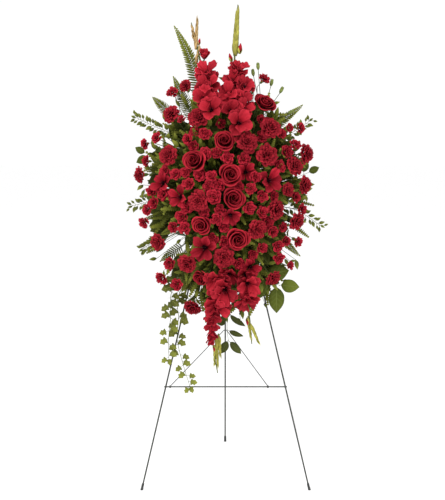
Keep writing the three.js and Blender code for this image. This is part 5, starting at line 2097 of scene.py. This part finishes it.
@dataclass
class InnerBlooms:
    """Half-hidden miniature carnations behind the others, where the front flowers leave a gap."""

    name: str = "inner_blooms"
    tries: int = 130
    size: tuple[float, float] = (40.0, 54.0)
    behind: tuple[float, float] = (16.0, 34.0)
    reach: float = 0.8
    middle: float = 12.0
    overlap: float = 0.68
    stem: Stem = MINI_STEM
    cluster: tuple[Spot, ...] = (Spot(164.6, 171, 48, back=12), Spot(163, 193.5, 56, back=14),
                                 Spot(153.7, 203, 50, back=12), Spot(151.5, 190.5, 48, back=16),
                                 Spot(188, 184, 48, back=14), Spot(256, 177, 46, back=12),
                                 Spot(227.6, 158, 50, back=10), Spot(187, 208, 50, back=16))

    def build(self) -> None:
        """Makes the piece."""
        chance = random.Random(self.name)
        piece = Sculpture(self.name)
        taken = [(spot.px, spot.py, spot.size) for spot in (*all_blooms(), *self.cluster)]
        heads = []
        for spot in self.cluster:
            head = Head(spot.at(), spot.facing(), spot.size / 2, spot.px, chance)
            head.petals(piece, MINI, MINI_PETALS)
            heads.append(head)
        for k in range(self.tries):
            turn, share = k * GOLDEN_ANGLE, self.reach * math.sqrt((k + 0.5) / self.tries)
            px, py = OVAL.spiral(share, turn)
            px += self.middle
            size, behind = chance.uniform(*self.size), chance.uniform(*self.behind)
            near = (math.hypot(px - x, py - y) * MM_PER_PIXEL / (0.5 * (size + other))
                    for x, y, other in taken)
            if min(near) < self.overlap:
                continue
            taken.append((px, py, size))
            at = VIEW.seen(px, py, OVAL.depth(px, py) + behind)
            head = Head(at, OVAL.outward(px, py), size / 2, turn, chance)
            head.petals(piece, MINI, MINI_PETALS)
            heads.append(head)
        piece.thicken(PETAL_THICKNESS)
        for head in heads:
            head.stem(piece, FOAM.sink_point(head.at), MINI, self.stem)
            CARNATION_TUBE.tube(piece, head, MINI_PETALS)
        piece.stand(Slot.MINIS)


# Easel, tray and foam


@dataclass
class Easel:
    """The wire easel: paint and rubber for its wires and tips, and the weld beads at the crossbar."""

    wires: tuple[str, ...] = ("front_leg_left", "front_leg_right", "crossbar", "apex_fitting", "back_leg",
                              "stay", "tie_wire_upper", "tie_wire_lower")
    tips: tuple[str, ...] = ("foot_tip_left", "foot_tip_right", "foot_tip_back")
    spread: float = 302.0
    bar: float = 361.0
    leg_radius: float = 2.9
    bead: float = 3.6
    bead_gap: float = 3.2
    bead_steps: tuple[float, ...] = (-2.0, -1.0, 0.6, 1.8)
    bead_shares: tuple[float, ...] = (0.5, 0.86, 0.74, 0.3)

    def build(self) -> None:
        """Dresses the wires and makes the weld beads."""
        for name in self.wires:
            dress(name, WIRE_PAINT)
        for name in self.tips:
            dress(name, RUBBER)
        piece = Sculpture("weld_beads")
        lean, apex = FOAM.apex
        out = self.spread * (1 - self.bar / apex)
        behind = FOAM.forward * -self.leg_radius
        for side in (-1, 1):
            at = Vector((side * out, lean * self.bar / apex, self.bar)) + behind
            for k in (-1, 1):
                points = [at + Vector((k * (self.bead_gap + step), 0, 0)) for step in self.bead_steps]
                piece.tube(points, [self.bead * share for share in self.bead_shares], 10, WIRE_PAINT)
        piece.stand(Slot.WIRE)


def dress(node: str, finish: Finish) -> None:
    """Gives a node of the frame a finish.

    Args:
        node: The node's name.
        finish: The finish.
    """
    material = STOCK.get(finish)
    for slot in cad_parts[node].material_slots:
        slot.material = material
    log.info("%s: %s", node, material.name)


# Studio


@dataclass(frozen=True)
class SoftBox:
    """A square light: its place and side in metres, and its power in watts."""

    name: str
    place: Place
    side: float
    power: float


@dataclass
class Studio:
    """A pale floor, white surroundings, two soft boxes, and the camera at the photograph's view."""

    sensor: float = 36.0
    sight: float = 100.0
    floor: float = 30.0
    floor_colour: Colour = (0.97, 0.97, 0.97)
    white: float = 1.03
    aim: Place = (0.0, 0.0, 1.1)
    boxes: tuple[SoftBox, ...] = (SoftBox("key", (-1.6, -2.8, 3.0), 1.2, 78.0),
                                  SoftBox("fill", (2.0, -3.2, 0.9), 2.0, 34.0))

    def build(self) -> None:
        """Makes the camera, the floor and the lights."""
        self.camera()
        self.ground()
        self.lights()

    def camera(self) -> None:
        """Makes the camera."""
        data = bpy.data.cameras.new("photograph")
        data.sensor_width = self.sensor
        data.lens = VIEW.focal * self.sensor / VIEW.height
        data.clip_end = self.sight
        camera = bpy.data.objects.new("photograph", data)
        camera.location = (Vector(VIEW.eye) + SHIFT) * MM
        camera.rotation_euler = (math.pi / 2 - VIEW.tilt, 0, 0)
        bpy.context.scene.collection.objects.link(camera)
        bpy.context.scene.camera = camera

    def ground(self) -> None:
        """Makes the floor."""
        bm = bmesh.new()
        bmesh.ops.create_grid(bm, x_segments=1, y_segments=1, size=self.floor)
        mesh = bpy.data.meshes.new("floor")
        bm.to_mesh(mesh)
        bm.free()
        shader = Shader("floor")
        shader.set(Base_Color=(*self.floor_colour, 1.0), Roughness=0.9, Specular_IOR_Level=0.1)
        mesh.materials.append(shader.material)
        floor = bpy.data.objects.new("floor", mesh)
        bpy.context.scene.collection.objects.link(floor)

    def lights(self) -> None:
        """Makes the white surroundings and the soft boxes."""
        scene = bpy.context.scene
        scene.view_settings.view_transform = "Standard"
        world = bpy.data.worlds.new("studio")
        world.use_nodes = True
        background = world.node_tree.nodes["Background"]
        background.inputs["Color"].default_value = (1, 1, 1, 1)
        background.inputs["Strength"].default_value = self.white
        scene.world = world
        for box in self.boxes:
            data = bpy.data.lights.new(box.name, "AREA")
            data.size = box.side
            data.energy = box.power
            light = bpy.data.objects.new(box.name, data)
            light.location = box.place
            way = Vector(self.aim) - Vector(box.place)
            light.rotation_euler = way.to_track_quat("-Z", "Y").to_euler()
            scene.collection.objects.link(light)


def main() -> None:
    """Builds the studio and the spray, piece by piece."""
    logging.basicConfig(level=logging.INFO, format="%(message)s")
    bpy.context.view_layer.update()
    Studio().build()
    Easel().build()
    dress("tray", TRAY_PLASTIC)
    dress("foam", FLORAL_FOAM)
    for name, spots in ROSES.items():
        Bunch(name, spots, ROSE, ROSE_STEM, Slot.ROSES, ROSE_PETALS, ROSE_HIP).build()
    for name, spots in CARNATIONS.items():
        Bunch(name, spots, CARNATION, CARNATION_STEM, Slot.CARNATIONS, CARNATION_PETALS,
              CARNATION_TUBE).build()
    for name, spots in STARS.items():
        Bunch(name, spots, TRUMPET, TRUMPET_STEM, Slot.STARS, STAR_PETALS, TRUMPET_THROAT).build()
    for name, spots in MINIS.items():
        Bunch(name, spots, MINI, MINI_STEM, Slot.MINIS, MINI_PETALS, CARNATION_TUBE, sway=0.3).build()
    for spike in GLADIOLI:
        spike.build()
    GreenBuds().build()
    for name, plans in FERNS.items():
        Fronds(name, plans).build()
    for name, plans in SPRIGS.items():
        LeafStems(name, plans, SPRIG_LEAF, SPRIG_LEAVES, Slot.SPRIGS, bunches=3, taper=0.28).build()
    for name, plans in SALAL.items():
        finish = SHADED_SALAL if name in SHADED_SALAL_STEMS else SALAL_LEAVES
        LeafStems(name, plans, SALAL_LEAF, finish, Slot.SALAL).build()
    for name, plans in IVY.items():
        LeafStems(name, plans, IVY_LEAF, IVY_LEAVES, Slot.IVY, 1.0, 0.16, 2, lighter_tips=True,
                  stem=1.9).build()
    for layer in FILLER_LAYERS:
        Filler(layer).build()
    InnerBlooms().build()


if __name__ == "__main__":
    main()
